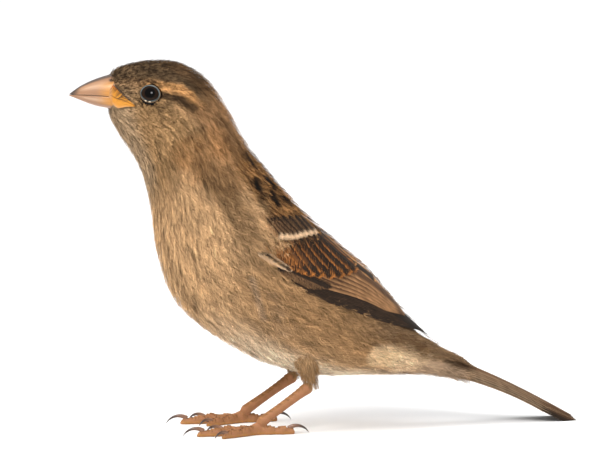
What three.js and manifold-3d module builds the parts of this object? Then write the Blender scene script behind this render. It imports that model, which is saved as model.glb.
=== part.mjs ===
// House sparrow, female, standing, life size.
// Millimetres, +Z up. The bird faces -Y and its left side is +X. The group's origin is on the
// floor, under the middle of the bird's bounding box.

import * as THREE from 'three';
import { mergeVertices } from 'three/addons/utils/BufferGeometryUtils.js';
import Module from 'manifold-3d';

const wasm = await Module();
wasm.setup();

// ---------------------------------------------------------------------------------------------
// Driving dimensions, in millimetres, in a frame whose origin is on the floor between the feet
// ---------------------------------------------------------------------------------------------

const gap = 0.3;               // clearance between two pieces that meet

// Plumage outline of the body, from the bill to the root of the tail. Each station is a flat
// section through the body: its highest point along the crown and back, its lowest along the
// throat and belly (both as [y, z]), half its width, and how much narrower it is above than below.
const stations = [
  { name: 'bill base', back: [-37.7, 92.2], belly: [-38.3, 83.7], halfWidth: 4.8, narrowing: 0.05 },
  { name: 'forehead', back: [-35.9, 94.9], belly: [-37.0, 79.8], halfWidth: 6.3, narrowing: 0.06 },
  { name: 'brow', back: [-32.0, 96.1], belly: [-34.6, 76.2], halfWidth: 8.3, narrowing: 0.10 },
  { name: 'crown', back: [-26.0, 96.3], belly: [-31.6, 71.9], halfWidth: 10.8, narrowing: 0.12 },
  { name: 'hind crown', back: [-19.5, 95.3], belly: [-29.2, 67.4], halfWidth: 12.2, narrowing: 0.12 },
  { name: 'nape', back: [-12.5, 90.8], belly: [-27.7, 62.0], halfWidth: 13.0, narrowing: 0.10 },
  { name: 'neck', back: [-7.0, 82.6], belly: [-26.5, 55.8], halfWidth: 14.6, narrowing: 0.08 },
  { name: 'shoulder', back: [-2.2, 73.6], belly: [-25.2, 46.6], halfWidth: 17.4, narrowing: 0.06 },
  { name: 'mantle', back: [4.6, 64.7], belly: [-22.0, 36.3], halfWidth: 19.3, narrowing: 0.04 },
  { name: 'back', back: [12.8, 55.4], belly: [-17.0, 29.5], halfWidth: 19.9, narrowing: 0.02 },
  { name: 'loin', back: [21.2, 47.7], belly: [-8.3, 23.1], halfWidth: 19.2, narrowing: 0.0 },
  { name: 'flank', back: [29.4, 40.6], belly: [2.2, 17.2], halfWidth: 17.3, narrowing: 0.0 },
  { name: 'rump', back: [37.0, 31.6], belly: [14.6, 13.7], halfWidth: 14.0, narrowing: 0.0 },
  { name: 'vent', back: [43.4, 24.7], belly: [26.0, 12.9], halfWidth: 10.4, narrowing: 0.0 },
  { name: 'tail coverts', back: [48.6, 20.1], belly: [38.0, 13.4], halfWidth: 7.6, narrowing: 0.0 },
  { name: 'tail root', back: [53.6, 17.0], belly: [48.0, 12.0], halfWidth: 6.0, narrowing: 0.0 },
];
const headEnd = 4.6;           // station where the head meets the neck
const neckEnd = 6.6;           // station where the neck meets the trunk

const bill = {
  tip: -48.2,                  // y of the point
  root: -36.4,                 // y of the hidden end, in the feathers
  culmen: [92.7, 92.2, 91.5, 90.6, 89.4, 87.8],        // z of the ridge, root to tip
  commissure: [87.0, 87.3, 87.5, 87.6, 87.6, 87.6],    // z of the line where the mandibles meet
  gonys: [83.5, 84.0, 84.5, 85.3, 86.3, 87.3],         // z of the keel below
  halfWidth: [4.4, 4.0, 3.4, 2.6, 1.6, 0.2],           // root to tip
};

const eye = { radius: 3.2, centre: [7.4, -28.5, 87.6] };

// The folded wing lies on the body between two lines, each as [station, angle], where 0 degrees
// is the middle of the side and 90 the middle of the back. A third line parts the primaries
// from the feathers above them.
const wing = {
  lowerEdge: [[7.0, 16], [7.5, 5], [8.2, 3], [9.2, 9], [10.6, 17], [11.6, 34], [12.3, 54], [13.3, 80]],
  parting: [[9.2, 19], [10.5, 30], [11.6, 47], [12.3, 66], [13.0, 81]],
  upperEdge: [[7.0, 34], [7.5, 51], [8.4, 66], [10.5, 78], [12.0, 84], [13.3, 86]],
  standsOut: 0.4,              // how far the feathers rise above the outline
  shoulder: { from: 7.0, to: 9.2, depth: 2.0 },
  coverts: { from: 9.2, to: 10.45, depth: 1.7 },
  secondaries: { from: 10.45, to: 12.7, depth: 1.3 },
  primaries: { from: 9.2, to: 13.3, depth: 1.0 },
};

const tail = {
  root: [46.5, 19.4],          // [y, z] of the top of the feathers, hidden under the coverts
  tip: [84.4, 0.3],
  arch: 0.9,                   // how far the middle rises above the straight line
  halfWidth: [3.6, 4.4, 5.2, 5.7, 5.4, 4.4],           // root to tip
  thickness: [2.6, 2.2, 1.8, 1.5, 1.2, 0.9],           // root to tip
  leastThickness: 0.6,         // at the very end, where the feathers lie on the floor
  roof: 3.0,                   // drop from the middle feathers to the outermost, at the root
  notch: 2.6,                  // depth of the fork
};

const leg = {
  hip: [9.5, 6.5, 25.0],       // hidden top of the feathered thigh
  ankle: [9.5, 12.8, 12.3],
  foot: [10.2, -1.6, 2.4],     // where the toes spread
  thighRadius: [5.2, 5.4, 4.6, 3.2, 2.0],              // hip to ankle
  tarsusRadius: [1.7, 1.35, 1.25, 1.25, 1.45, 1.6],    // ankle to foot
};

// Toes, in the order they are fitted round the foot. heading is in degrees from straight ahead,
// outwards positive.
const toes = [
  { name: 'middle', heading: 2, length: 15.8, halfWidth: 0.95, clawLength: 6.3 },
  { name: 'hind', heading: 176, length: 9.8, halfWidth: 1.0, clawLength: 6.2 },
  { name: 'inner', heading: -25, length: 11.0, halfWidth: 0.85, clawLength: 4.8 },
  { name: 'outer', heading: 28, length: 11.6, halfWidth: 0.85, clawLength: 4.8 },
];
const toeHeight = 2.1;
const toeFlat = 0.66;          // share of a toe's half height that its middle is above the floor
const toePads = 3;             // swellings along a toe
const claw = {
  halfHeight: 0.68,            // at its root
  halfWidth: 0.46,
  pitchAtRoot: 35,             // degrees above level
  pitchAtTip: -62,
  tipHeight: 0.25,             // the point stays clear of the floor
};

// ---------------------------------------------------------------------------------------------
// Shape helpers
// ---------------------------------------------------------------------------------------------

const radians = THREE.MathUtils.degToRad;
const clamp = THREE.MathUtils.clamp;

// A value read from an evenly spaced list, on a smooth curve through its entries.
function along(list, t) {
  const curve = new THREE.CatmullRomCurve3(
    list.map((value) => new THREE.Vector3(value, 0, 0)), false, 'catmullrom', 0.5);
  return curve.getPoint(clamp(t, 0, 1)).x;
}

// An angle read from a line of [station, angle] points, in radians.
function edgeAngle(line, station) {
  let next = line.findIndex((point) => point[0] >= station);
  if (next < 0) {
    next = line.length - 1;
  }
  next = Math.max(next, 1);
  const [fromStation, fromAngle] = line[next - 1];
  const [toStation, toAngle] = line[next];
  const share = (station - fromStation) / (toStation - fromStation);
  return radians(THREE.MathUtils.lerp(fromAngle, toAngle, share));
}

// A closed loft: a ball whose rings become the sections and whose poles become flat ends.
// place(share, angle, spread) gives a point; share runs 0 to 1 from end to end, and spread is
// 0 at the middle of an end and 1 on a section's rim.
function loft(sides, rings, place) {
  const geometry = new THREE.SphereGeometry(1, sides, rings);
  const position = geometry.attributes.position;
  for (let i = 0; i < position.count; i++) {
    const ring = Math.round(Math.acos(clamp(position.getY(i), -1, 1)) / Math.PI * rings);
    const angle = Math.atan2(position.getZ(i), position.getX(i));
    const share = clamp((ring - 1) / (rings - 2), 0, 1);
    const spread = ring === 0 || ring === rings ? 0 : 1;
    const point = place(share, angle, spread);
    position.setXYZ(i, point.x, point.y, point.z);
  }
  return toSolid(geometry);
}

// A closed slab: a box whose length, width and depth become shares from 0 to 1.
function slab(lengthSteps, widthSteps, place) {
  const geometry = new THREE.BoxGeometry(1, 1, 1, lengthSteps, widthSteps, 1);
  const position = geometry.attributes.position;
  for (let i = 0; i < position.count; i++) {
    const point = place(position.getX(i) + 0.5, position.getY(i) + 0.5, position.getZ(i) + 0.5);
    position.setXYZ(i, point.x, point.y, point.z);
  }
  return toSolid(geometry);
}

// A manifold solid from a closed three.js geometry, turned outwards where a mirror or a warp
// has turned it inside out.
function toSolid(geometry) {
  geometry.deleteAttribute('normal');
  geometry.deleteAttribute('uv');
  const merged = mergeVertices(geometry, 1e-4);
  const corners = merged.attributes.position.array;
  const triangles = [];
  for (let i = 0; i < merged.index.count; i += 3) {
    const [a, b, c] = [0, 1, 2].map((k) => merged.index.getX(i + k));
    if (a !== b && b !== c && c !== a) {
      triangles.push(a, b, c);
    }
  }
  if (signedVolume(corners, triangles) < 0) {
    triangles.reverse();
  }
  return new wasm.Manifold(new wasm.Mesh({
    numProp: 3,
    vertProperties: new Float32Array(corners),
    triVerts: new Uint32Array(triangles),
  }));
}

function signedVolume(corners, triangles) {
  const point = (index) => new THREE.Vector3().fromArray(corners, index * 3);
  let volume = 0;
  for (let i = 0; i < triangles.length; i += 3) {
    const [a, b, c] = triangles.slice(i, i + 3).map(point);
    volume += a.dot(b.cross(c)) / 6;
  }
  return volume;
}

// The largest piece of a solid, without the slivers that a cut can leave loose.
function largestPiece(solid) {
  return solid.decompose().reduce((best, piece) => (piece.volume() > best.volume() ? piece : best));
}

function toGeometry(solid) {
  const mesh = largestPiece(solid).getMesh();
  const geometry = new THREE.BufferGeometry();
  geometry.setAttribute('position', new THREE.BufferAttribute(mesh.vertProperties, 3));
  geometry.setIndex(new THREE.BufferAttribute(mesh.triVerts, 1));
  geometry.computeVertexNormals();
  return geometry;
}

// ---------------------------------------------------------------------------------------------
// Body: head, neck and trunk on one line of sections
// ---------------------------------------------------------------------------------------------

const backLine = new THREE.CatmullRomCurve3(
  stations.map((s) => new THREE.Vector3(s.halfWidth, s.back[0], s.back[1])),
  false, 'catmullrom', 0.5);
const bellyLine = new THREE.CatmullRomCurve3(
  stations.map((s) => new THREE.Vector3(s.narrowing, s.belly[0], s.belly[1])),
  false, 'catmullrom', 0.5);

// A point of the plumage outline. grow moves it outwards, and shift moves the whole section
// towards the tail.
function bodyPoint(station, angle, spread = 1, grow = 0, shift = 0) {
  const share = clamp(station / (stations.length - 1), 0, 1);
  const back = backLine.getPoint(share);
  const belly = bellyLine.getPoint(share);
  const halfWidth = back.x + grow;
  const narrowing = belly.x;
  const up = new THREE.Vector2(back.y - belly.y, back.z - belly.z);
  const halfHeight = up.length() / 2 + grow;
  up.normalize();
  const rise = halfHeight * Math.sin(angle) * spread;
  return new THREE.Vector3(
    halfWidth * Math.cos(angle) * (1 - narrowing * Math.sin(angle)) * spread,
    (back.y + belly.y) / 2 + up.x * rise + up.y * shift,
    (back.z + belly.z) / 2 + up.y * rise - up.x * shift);
}

function bodySection(from, to, sides, rings, grow = 0) {
  return loft(sides, rings, (share, angle, spread) => bodyPoint(
    THREE.MathUtils.lerp(from, to, share), angle, spread, grow, gap * (0.5 - share)));
}

// ---------------------------------------------------------------------------------------------
// Bill and eyes
// ---------------------------------------------------------------------------------------------

function mandible(upper, grow = 0) {
  return loft(12, 9, (share, angle, spread) => {
    const y = THREE.MathUtils.lerp(bill.root + grow, bill.tip, share);
    const edge = along(bill.commissure, share) + (upper ? gap / 2 : -gap / 2) - (upper ? grow : -grow);
    const ridge = along(upper ? bill.culmen : bill.gonys, share) + (upper ? grow : -grow);
    const lift = upper ? Math.max(Math.sin(angle), 0) : Math.max(-Math.sin(angle), 0);
    const width = (along(bill.halfWidth, share) + grow) * Math.cos(angle);
    const middle = (edge + ridge) / 2;
    const height = edge + (ridge - edge) * lift;
    return new THREE.Vector3(width * spread, y, middle + (height - middle) * spread);
  });
}

function eyeball(side, grow = 0) {
  const geometry = new THREE.SphereGeometry(eye.radius + grow, 12, 9);
  geometry.rotateZ(Math.PI / 2);
  geometry.translate(side * eye.centre[0], eye.centre[1], eye.centre[2]);
  return toSolid(geometry);
}

// ---------------------------------------------------------------------------------------------
// Wings and tail
// ---------------------------------------------------------------------------------------------

const stationSpacing = 10.5;   // mean distance between sections under the wing

// One field of wing feathers: a slab on the body between two stations and two lines.
function wingField(side, field, lowerLine, upperLine, grow = 0) {
  const margin = (grow - gap / 2) / stationSpacing;
  return slab(8, 4, (lengthShare, widthShare, depthShare) => {
    const station = THREE.MathUtils.lerp(field.from - margin, field.to + margin, lengthShare);
    const across = (grow - gap / 2) / bodyPoint(station, 0).x;
    const lower = edgeAngle(lowerLine, station) - across;
    const upper = edgeAngle(upperLine, station) + across;
    const angle = THREE.MathUtils.lerp(lower, upper, widthShare);
    const height = THREE.MathUtils.lerp(-field.depth - grow, wing.standsOut + grow, depthShare);
    const point = bodyPoint(station, angle, 1, height);
    point.x *= side;
    return point;
  });
}

function wingFields(side, grow = 0) {
  return {
    shoulder: wingField(side, wing.shoulder, wing.lowerEdge, wing.upperEdge, grow),
    coverts: wingField(side, wing.coverts, wing.parting, wing.upperEdge, grow),
    secondaries: wingField(side, wing.secondaries, wing.parting, wing.upperEdge, grow),
    primaries: wingField(side, wing.primaries, wing.lowerEdge, wing.parting, grow),
  };
}

// The closed tail: a roof of feathers with a fork at the end, laid down at its tip.
function tailBlade(grow = 0) {
  return slab(10, 6, (lengthStep, widthShare, depthShare) => {
    const lengthShare = 1 - (1 - lengthStep) ** 1.6;
    const across = 2 * widthShare - 1;
    const fork = tail.notch * lengthShare * (1 - Math.abs(across)) ** 1.5;
    const corner = tail.notch * 0.8 * lengthShare * Math.abs(across) ** 4;
    const y = THREE.MathUtils.lerp(tail.root[0] - grow, tail.tip[0], lengthShare) - fork - corner;
    const share = clamp((y - tail.root[0]) / (tail.tip[0] - tail.root[0]), 0, 1);
    const halfWidth = along(tail.halfWidth, share);
    const x = across * (halfWidth + grow);
    const top = THREE.MathUtils.lerp(tail.root[1], tail.tip[1], share)
      + tail.arch * Math.sin(Math.PI * share)
      - tail.roof * (1 - share * 0.9) * (x / halfWidth) ** 2;
    const z = top - along(tail.thickness, share) * (1 - depthShare) + grow * (2 * depthShare - 1);
    return new THREE.Vector3(x, y, Math.max(z, depthShare > 0.5 ? tail.leastThickness : 0));
  });
}

// ---------------------------------------------------------------------------------------------
// Legs, toes and claws
// ---------------------------------------------------------------------------------------------

const up = new THREE.Vector3(0, 0, 1);

// A round limb between two points, with its radius given from end to end.
function limb(from, to, radii, sides, rings, grow = 0) {
  const start = new THREE.Vector3(...from);
  const end = new THREE.Vector3(...to);
  const direction = end.clone().sub(start).normalize();
  const sideways = new THREE.Vector3().crossVectors(direction, up).normalize();
  const upwards = new THREE.Vector3().crossVectors(sideways, direction);
  return loft(sides, rings, (share, angle, spread) => {
    const radius = (along(radii, share) + grow) * spread;
    const point = start.clone().lerp(end, share).addScaledVector(direction, grow * (2 * share - 1));
    point.addScaledVector(sideways, radius * Math.cos(angle));
    return point.addScaledVector(upwards, radius * Math.sin(angle));
  });
}

function mirrored(point, side) {
  return [side * point[0], point[1], point[2]];
}

function thigh(side, grow = 0) {
  return limb(mirrored(leg.hip, side), mirrored(leg.ankle, side), leg.thighRadius, 12, 8, grow);
}

function tarsus(side, grow = 0) {
  return limb(mirrored(leg.ankle, side), mirrored(leg.foot, side), leg.tarsusRadius, 8, 8, grow);
}

function toeHeading(side, toe) {
  const heading = radians(toe.heading);
  return new THREE.Vector3(side * Math.sin(heading), -Math.cos(heading), 0);
}

// A toe lies flat on the floor, with a swelling under each joint and a rounded end.
function toeSolid(side, toe, grow = 0) {
  const root = new THREE.Vector3(side * leg.foot[0], leg.foot[1], 0);
  const forward = toeHeading(side, toe);
  const sideways = new THREE.Vector3().crossVectors(forward, up);
  return loft(8, 11, (share, angle, spread) => {
    const pad = 1 + 0.08 * Math.cos(2 * Math.PI * toePads * share);
    const roundEnd = share > 0.95 ? 0.6 : 1;
    const halfWidth = toe.halfWidth * pad * (1 - 0.12 * share) * roundEnd + grow;
    const halfHeight = toeHeight / (1 + toeFlat) * pad * (1 - 0.06 * share) * roundEnd;
    const reach = gap + (toe.length - gap) * share + grow * (2 * share - 1);
    const point = root.clone().addScaledVector(forward, reach);
    point.addScaledVector(sideways, halfWidth * Math.cos(angle) * spread);
    const height = halfHeight * (toeFlat + Math.sin(angle) * spread);
    point.z = Math.max(height, 0) + grow * Math.sin(angle) * spread;
    return point;
  });
}

// A claw leaves the end of its toe, arches over and comes down to a point.
function clawSolid(side, toe) {
  const forward = toeHeading(side, toe);
  const sideways = new THREE.Vector3().crossVectors(forward, up);
  const firstPitch = radians(claw.pitchAtRoot);
  const lastPitch = radians(claw.pitchAtTip);
  const bend = (firstPitch - lastPitch) / toe.clawLength;
  const drop = (Math.cos(firstPitch) - Math.cos(lastPitch)) / bend;
  const root = new THREE.Vector3(side * leg.foot[0], leg.foot[1], claw.tipHeight + drop);
  root.addScaledVector(forward, toe.length - 2 * claw.halfHeight);
  return loft(6, 8, (share, angle, spread) => {
    const pitch = THREE.MathUtils.lerp(firstPitch, lastPitch, share);
    const taper = Math.max((1 - share) ** 0.7, 0.12) * spread;
    const point = root.clone();
    point.addScaledVector(forward, (Math.sin(firstPitch) - Math.sin(pitch)) / bend);
    point.z += (Math.cos(pitch) - Math.cos(firstPitch)) / bend;
    point.addScaledVector(sideways, claw.halfWidth * taper * Math.cos(angle));
    point.addScaledVector(forward, -claw.halfHeight * taper * Math.sin(angle) * Math.sin(pitch));
    point.z += claw.halfHeight * taper * Math.sin(angle) * Math.cos(pitch);
    return point;
  });
}

// ---------------------------------------------------------------------------------------------
// Colours
// ---------------------------------------------------------------------------------------------

function material(color, roughness) {
  return new THREE.MeshStandardMaterial({ color, roughness, metalness: 0 });
}

const finishes = {
  bill: material(0xc79a6a, 0.45),
  eye: material(0x15100d, 0.08),
  head: material(0x7a6549, 0.9),
  body: material(0x9a7f5c, 0.9),
  wing: material(0x7b5632, 0.85),
  flight: material(0x4a3a2b, 0.8),
  tail: material(0x5f4c38, 0.8),
  thigh: material(0x8a7256, 0.9),
  leg: material(0xb0764a, 0.55),
  claw: material(0x4b3a31, 0.4),
};

// ---------------------------------------------------------------------------------------------
// Assembly
// ---------------------------------------------------------------------------------------------

const sparrow = new THREE.Group();
const sides = [['left', 1], ['right', -1]];
const lastStation = stations.length - 1;

function addPart(name, solid, finish) {
  const mesh = new THREE.Mesh(toGeometry(solid), finish);
  mesh.name = name;
  sparrow.add(mesh);
}

let head = bodySection(0, headEnd, 22, 12);
let trunk = bodySection(neckEnd, lastStation, 24, 20).subtract(tailBlade(gap));
for (const upper of [true, false]) {
  head = head.subtract(mandible(upper, gap));
  addPart(upper ? 'bill_upper' : 'bill_lower', mandible(upper), finishes.bill);
}

for (const [name, side] of sides) {
  head = head.subtract(eyeball(side, gap));
  addPart(`eye_${name}`, eyeball(side), finishes.eye);

  for (const solid of Object.values(wingFields(side, gap))) {
    trunk = trunk.subtract(solid);
  }
  for (const [field, solid] of Object.entries(wingFields(side))) {
    const isFlight = field === 'primaries' || field === 'secondaries';
    addPart(`wing_${name}_${field}`, solid, isFlight ? finishes.flight : finishes.wing);
  }

  trunk = trunk.subtract(thigh(side, gap));
  addPart(`thigh_${name}`, thigh(side), finishes.thigh);
  addPart(`tarsus_${name}`, tarsus(side).subtract(thigh(side, gap)), finishes.leg);

  let taken = tarsus(side, gap);
  for (const toe of toes) {
    addPart(`toe_${name}_${toe.name}`, toeSolid(side, toe).subtract(taken), finishes.leg);
    addPart(`claw_${name}_${toe.name}`, clawSolid(side, toe).subtract(toeSolid(side, toe, gap)),
      finishes.claw);
    taken = taken.add(toeSolid(side, toe, gap));
  }
}

addPart('head', head, finishes.head);
addPart('neck', bodySection(headEnd, neckEnd, 24, 6), finishes.body);
addPart('trunk', trunk, finishes.body);
addPart('tail', tailBlade(), finishes.tail);

// The origin goes under the middle of the bird.
const bounds = new THREE.Box3().setFromObject(sparrow);
const middle = bounds.getCenter(new THREE.Vector3());
sparrow.position.set(-middle.x, -middle.y, -bounds.min.z);

export default sparrow;
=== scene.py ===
import math
from collections import namedtuple
from functools import partial

import bmesh
import bpy
import numpy as np
from mathutils import Matrix, Vector
from mathutils.kdtree import KDTree


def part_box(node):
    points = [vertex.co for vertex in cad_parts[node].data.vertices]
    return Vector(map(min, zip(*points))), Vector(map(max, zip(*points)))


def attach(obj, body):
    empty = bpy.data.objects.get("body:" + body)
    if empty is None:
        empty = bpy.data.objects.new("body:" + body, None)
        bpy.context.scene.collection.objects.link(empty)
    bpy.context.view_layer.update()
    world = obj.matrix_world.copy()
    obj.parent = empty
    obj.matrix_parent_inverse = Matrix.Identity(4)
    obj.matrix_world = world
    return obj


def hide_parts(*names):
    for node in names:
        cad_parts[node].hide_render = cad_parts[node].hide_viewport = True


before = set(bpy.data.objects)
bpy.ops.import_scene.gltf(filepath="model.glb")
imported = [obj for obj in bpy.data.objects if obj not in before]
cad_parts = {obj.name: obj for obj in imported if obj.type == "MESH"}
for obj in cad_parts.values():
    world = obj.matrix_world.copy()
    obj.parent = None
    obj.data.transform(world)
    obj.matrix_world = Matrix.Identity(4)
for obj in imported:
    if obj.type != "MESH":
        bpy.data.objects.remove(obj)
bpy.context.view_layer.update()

# --- Studio -------------------------------------------------------------------------------------
# A seamless white table under large soft lights, as for a museum catalogue. The camera stands far
# off on the bird's left, a little in front of it and a little above, behind a very long lens.

MM = 0.001
BILL_TIP_Y = -48.2 * MM            # from the point on the floor between the feet
FEET = Vector((0.0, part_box("bill_upper")[0].y - BILL_TIP_Y, 0.0))

PICTURE_SIZE = (612, 472)
FEET_PIXEL = (255, 428.5)          # where the point between the feet stands, from the top left
PIXELS_PER_METRE = 3900
AZIMUTH, ELEVATION = 78, 8         # degrees from straight ahead of the bird, and above the floor
DISTANCE = 3.0
SENSOR = 36.0
BIRD_MIDDLE = Vector((0, 0, 0.05))


def towards(azimuth, elevation):
    """The direction from the bird to a thing that stands round it."""
    a, e = math.radians(azimuth), math.radians(elevation)
    return Vector((math.sin(a) * math.cos(e), -math.cos(a) * math.cos(e), math.sin(e)))


def add_aimed(name, data, place, back):
    """A camera or light that looks away from the direction back."""
    thing = bpy.data.objects.new(name, data)
    bpy.context.scene.collection.objects.link(thing)
    thing.location = place
    thing.rotation_mode = "QUATERNION"
    thing.rotation_quaternion = (-back).to_track_quat("-Z", "Y")
    return thing


def add_camera():
    """The long lens, placed so that the spot between the feet falls on FEET_PIXEL."""
    data = bpy.data.cameras.new("camera")
    data.sensor_width = SENSOR
    data.lens = SENSOR * DISTANCE * PIXELS_PER_METRE / PICTURE_SIZE[0]
    data.clip_start, data.clip_end = 0.1, 100.0
    back, right = towards(AZIMUTH, ELEVATION), towards(AZIMUTH + 90, 0)
    up = back.cross(right)
    across = (PICTURE_SIZE[0] / 2 - FEET_PIXEL[0]) / PIXELS_PER_METRE
    rise = (FEET_PIXEL[1] - PICTURE_SIZE[1] / 2) / PIXELS_PER_METRE
    place = FEET + right * across + up * rise + back * DISTANCE
    bpy.context.scene.camera = add_aimed("camera", data, place, back)


def add_light(name, azimuth, elevation, distance, size, power, colour):
    """A square soft box aimed at the middle of the bird, not itself seen in wet eyes."""
    data = bpy.data.lights.new(name, "AREA")
    data.size = size
    data.energy = power
    data.color = colour
    back = towards(azimuth, elevation)
    light = add_aimed(name, data, BIRD_MIDDLE + back * distance, back)
    light.visible_camera = False
    light.visible_glossy = False
    return light


def plain_material(name, colour, roughness):
    material = bpy.data.materials.new(name)
    material.use_nodes = True
    shader = material.node_tree.nodes["Principled BSDF"]
    shader.inputs["Base Color"].default_value = (*colour, 1.0)
    shader.inputs["Roughness"].default_value = roughness
    return material


def link_mesh(name, mesh, material):
    mesh.materials.append(material)
    piece = bpy.data.objects.new(name, mesh)
    bpy.context.scene.collection.objects.link(piece)
    return piece


FLOOR_HALF = 15.0
floor_mesh = bpy.data.meshes.new("floor")
floor_mesh.from_pydata(
    [(-FLOOR_HALF, -FLOOR_HALF, 0), (FLOOR_HALF, -FLOOR_HALF, 0),
     (FLOOR_HALF, FLOOR_HALF, 0), (-FLOOR_HALF, FLOOR_HALF, 0)], [], [(0, 1, 2, 3)])
floor = link_mesh("floor", floor_mesh, plain_material("white_table", (0.9, 0.9, 0.9), 0.8))

add_camera()
add_light("key", 20, 44, 1.2, 0.5, 12.0, (1.0, 0.98, 0.95))
add_light("fill", 82, 44, 1.3, 0.5, 7.0, (1.0, 1.0, 1.0))
add_light("rim", 215, 60, 1.3, 0.8, 7.0, (0.97, 0.98, 1.0))
# a small bright window whose only work is the glint in the eyes
window = add_light("window", 84, 40, 1.3, 0.34, 14.0, (1.0, 1.0, 1.0))
window.visible_glossy = True
window.visible_diffuse = False

world = bpy.data.worlds.new("studio")
world.use_nodes = True
world.node_tree.nodes["Background"].inputs["Color"].default_value = (1.0, 1.0, 1.0, 1.0)
world.node_tree.nodes["Background"].inputs["Strength"].default_value = 0.75
bpy.context.scene.world = world
bpy.context.scene.view_settings.view_transform = "Standard"

# --- Skin ---------------------------------------------------------------------------------------
# The bare skin under the feathers, one surface over head, neck, trunk and both thighs. It is
# thin and dull, lies inside the plumage by the feathers' depth, and carries the same markings,
# darkened as painted shade.

# A place on the bird is (station, angle, height): the station counts flat sections through the
# plumage from the bill to the root of the tail, angle 0 is the middle of the left side and 90
# degrees the middle of the back, and height is how far the place stands above the outline.

# crown or back y, z; throat or belly y, z; half width, in millimetres; narrowing towards the top
STATIONS = np.array([
    (-37.7, 92.2, -38.3, 83.7, 4.8, 0.05),     # bill base
    (-35.8, 94.3, -37.0, 79.9, 6.2, 0.06),     # forehead
    (-31.8, 95.5, -34.6, 76.3, 8.3, 0.10),     # brow
    (-26.0, 96.1, -31.6, 72.0, 10.8, 0.12),    # crown
    (-19.5, 95.3, -29.2, 67.4, 12.2, 0.12),    # hind crown
    (-12.5, 90.8, -27.7, 62.0, 13.0, 0.10),    # nape
    (-7.0, 82.6, -26.5, 55.8, 14.6, 0.08),     # neck
    (-2.2, 73.6, -25.2, 46.6, 17.4, 0.06),     # shoulder
    (4.6, 64.7, -22.0, 36.3, 19.3, 0.04),      # mantle
    (12.8, 55.4, -17.0, 29.5, 19.9, 0.02),     # back
    (21.2, 47.7, -8.3, 23.1, 19.2, 0.0),       # loin
    (29.4, 40.6, 2.2, 17.2, 17.3, 0.0),        # flank
    (37.0, 31.6, 15.6, 13.7, 14.0, 0.0),       # rump
    (43.4, 24.7, 30.0, 13.2, 10.4, 0.0),       # vent
    (48.6, 20.1, 42.5, 12.8, 7.6, 0.0),        # tail coverts
    (54.2, 16.9, 51.3, 11.5, 5.8, 0.0),        # tail root
])
LAST_STATION = len(STATIONS) - 1
STEP_BEFORE, STEP_BEYOND = 2.2, 6.0    # mm a station where the line runs on past its two ends
SIDES = ((1, "left"), (-1, "right"))


def placed(points):
    """Points in mm from the spot between the feet, as metres in the frame."""
    return points * MM + np.array(FEET)


def smooth_rows(rows, u):
    """Rows of numbers read at fractional positions u, on smooth curves through the rows."""
    count = len(rows)
    ends = np.vstack([2 * rows[0] - rows[1], rows, 2 * rows[-1] - rows[-2]])
    u = np.clip(u, 0.0, count - 1 - 1e-6)
    first = np.floor(u).astype(int)
    t = (u - first)[..., None]
    a, b, c, d = (ends[first + k] for k in range(4))
    return 0.5 * (2 * b + (c - a) * t + (2 * a - 5 * b + 4 * c - d) * t**2
                  + (3 * b - a - 3 * c + d) * t**3)


def profile(rows, share):
    """One number read from a column of them, at a share of the way from first to last."""
    return smooth_rows(rows, np.asarray(share) * (len(rows) - 1))[..., 0]


def on_body(station, angle, height=0.0):
    """The point, in metres, at a place on the bird. Arrays of any one shape; height in mm."""
    station, angle, height = np.broadcast_arrays(
        np.asarray(station, float), np.asarray(angle, float), np.asarray(height, float))
    row = smooth_rows(STATIONS, station)
    back, belly = row[..., 0:2], row[..., 2:4]
    middle = (back + belly) / 2
    rise = back - belly
    half_height = np.linalg.norm(rise, axis=-1) / 2
    rise = rise / (2 * half_height[..., None])
    beyond = STEP_BEYOND * np.maximum(station - LAST_STATION, 0.0)
    before = np.minimum(station, 0.0)
    slimmer = np.maximum(1 - beyond / 16, 0.45) * (1 + 0.08 * before)
    sin, cos = np.sin(angle), np.cos(angle)
    x = (row[..., 4] * slimmer + height) * cos * (1 - row[..., 5] * sin)
    lift = (half_height * slimmer + height) * sin
    y = middle[..., 0] + rise[..., 0] * lift + rise[..., 1] * beyond + STEP_BEFORE * before
    z = middle[..., 1] + rise[..., 1] * lift - rise[..., 0] * beyond
    return placed(np.stack([x, y, z], axis=-1))


random = np.random.default_rng(7)


def seen(red, green, blue):
    """A colour as seen, 0 to 255, as the linear light that Blender mixes."""
    value = np.array([red, green, blue]) / 255
    return np.where(value <= 0.04045, value / 12.92, ((value + 0.055) / 1.055) ** 2.4)


def ramp(x, low, high):
    """A smooth step from 0 at low to 1 at high."""
    t = np.clip((x - low) / (high - low), 0, 1)
    return t * t * (3 - 2 * t)


def mix(base, colour, amount):
    """Colours moved towards another one, by an amount at each place."""
    return base + (colour - base) * np.asarray(amount)[..., None]


def fill(colour, like):
    """The same colour for every number of an array."""
    return np.broadcast_to(colour, (*np.shape(like), 3))


BREAST = seen(178, 143, 104)
FLANK = seen(148, 114, 78)
BELLY = seen(232, 212, 186)
CHEEK = seen(144, 112, 76)
CHIN = seen(162, 136, 106)
CROWN = seen(96, 76, 54)
NAPE = seen(158, 118, 80)
MANTLE = seen(112, 82, 54)
RUMP = seen(120, 94, 68)
CREAM = seen(236, 204, 162)
UNDERTAIL = seen(178, 150, 122)
BROW = seen(182, 134, 84)
DARK_STRIPE = seen(62, 46, 30)
NECK_PATCH = seen(150, 112, 76)
NECK = seen(152, 108, 66)
PARTING = seen(124, 112, 100)
BLACK = seen(22, 17, 13)
SHOULDER = seen(98, 72, 46)
LORES = seen(120, 96, 70)
EDGE_DARK = seen(52, 38, 26)
WARM = seen(176, 122, 70)
FOREHEAD = seen(108, 86, 62)
HIND_CROWN = seen(80, 56, 34)

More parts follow.
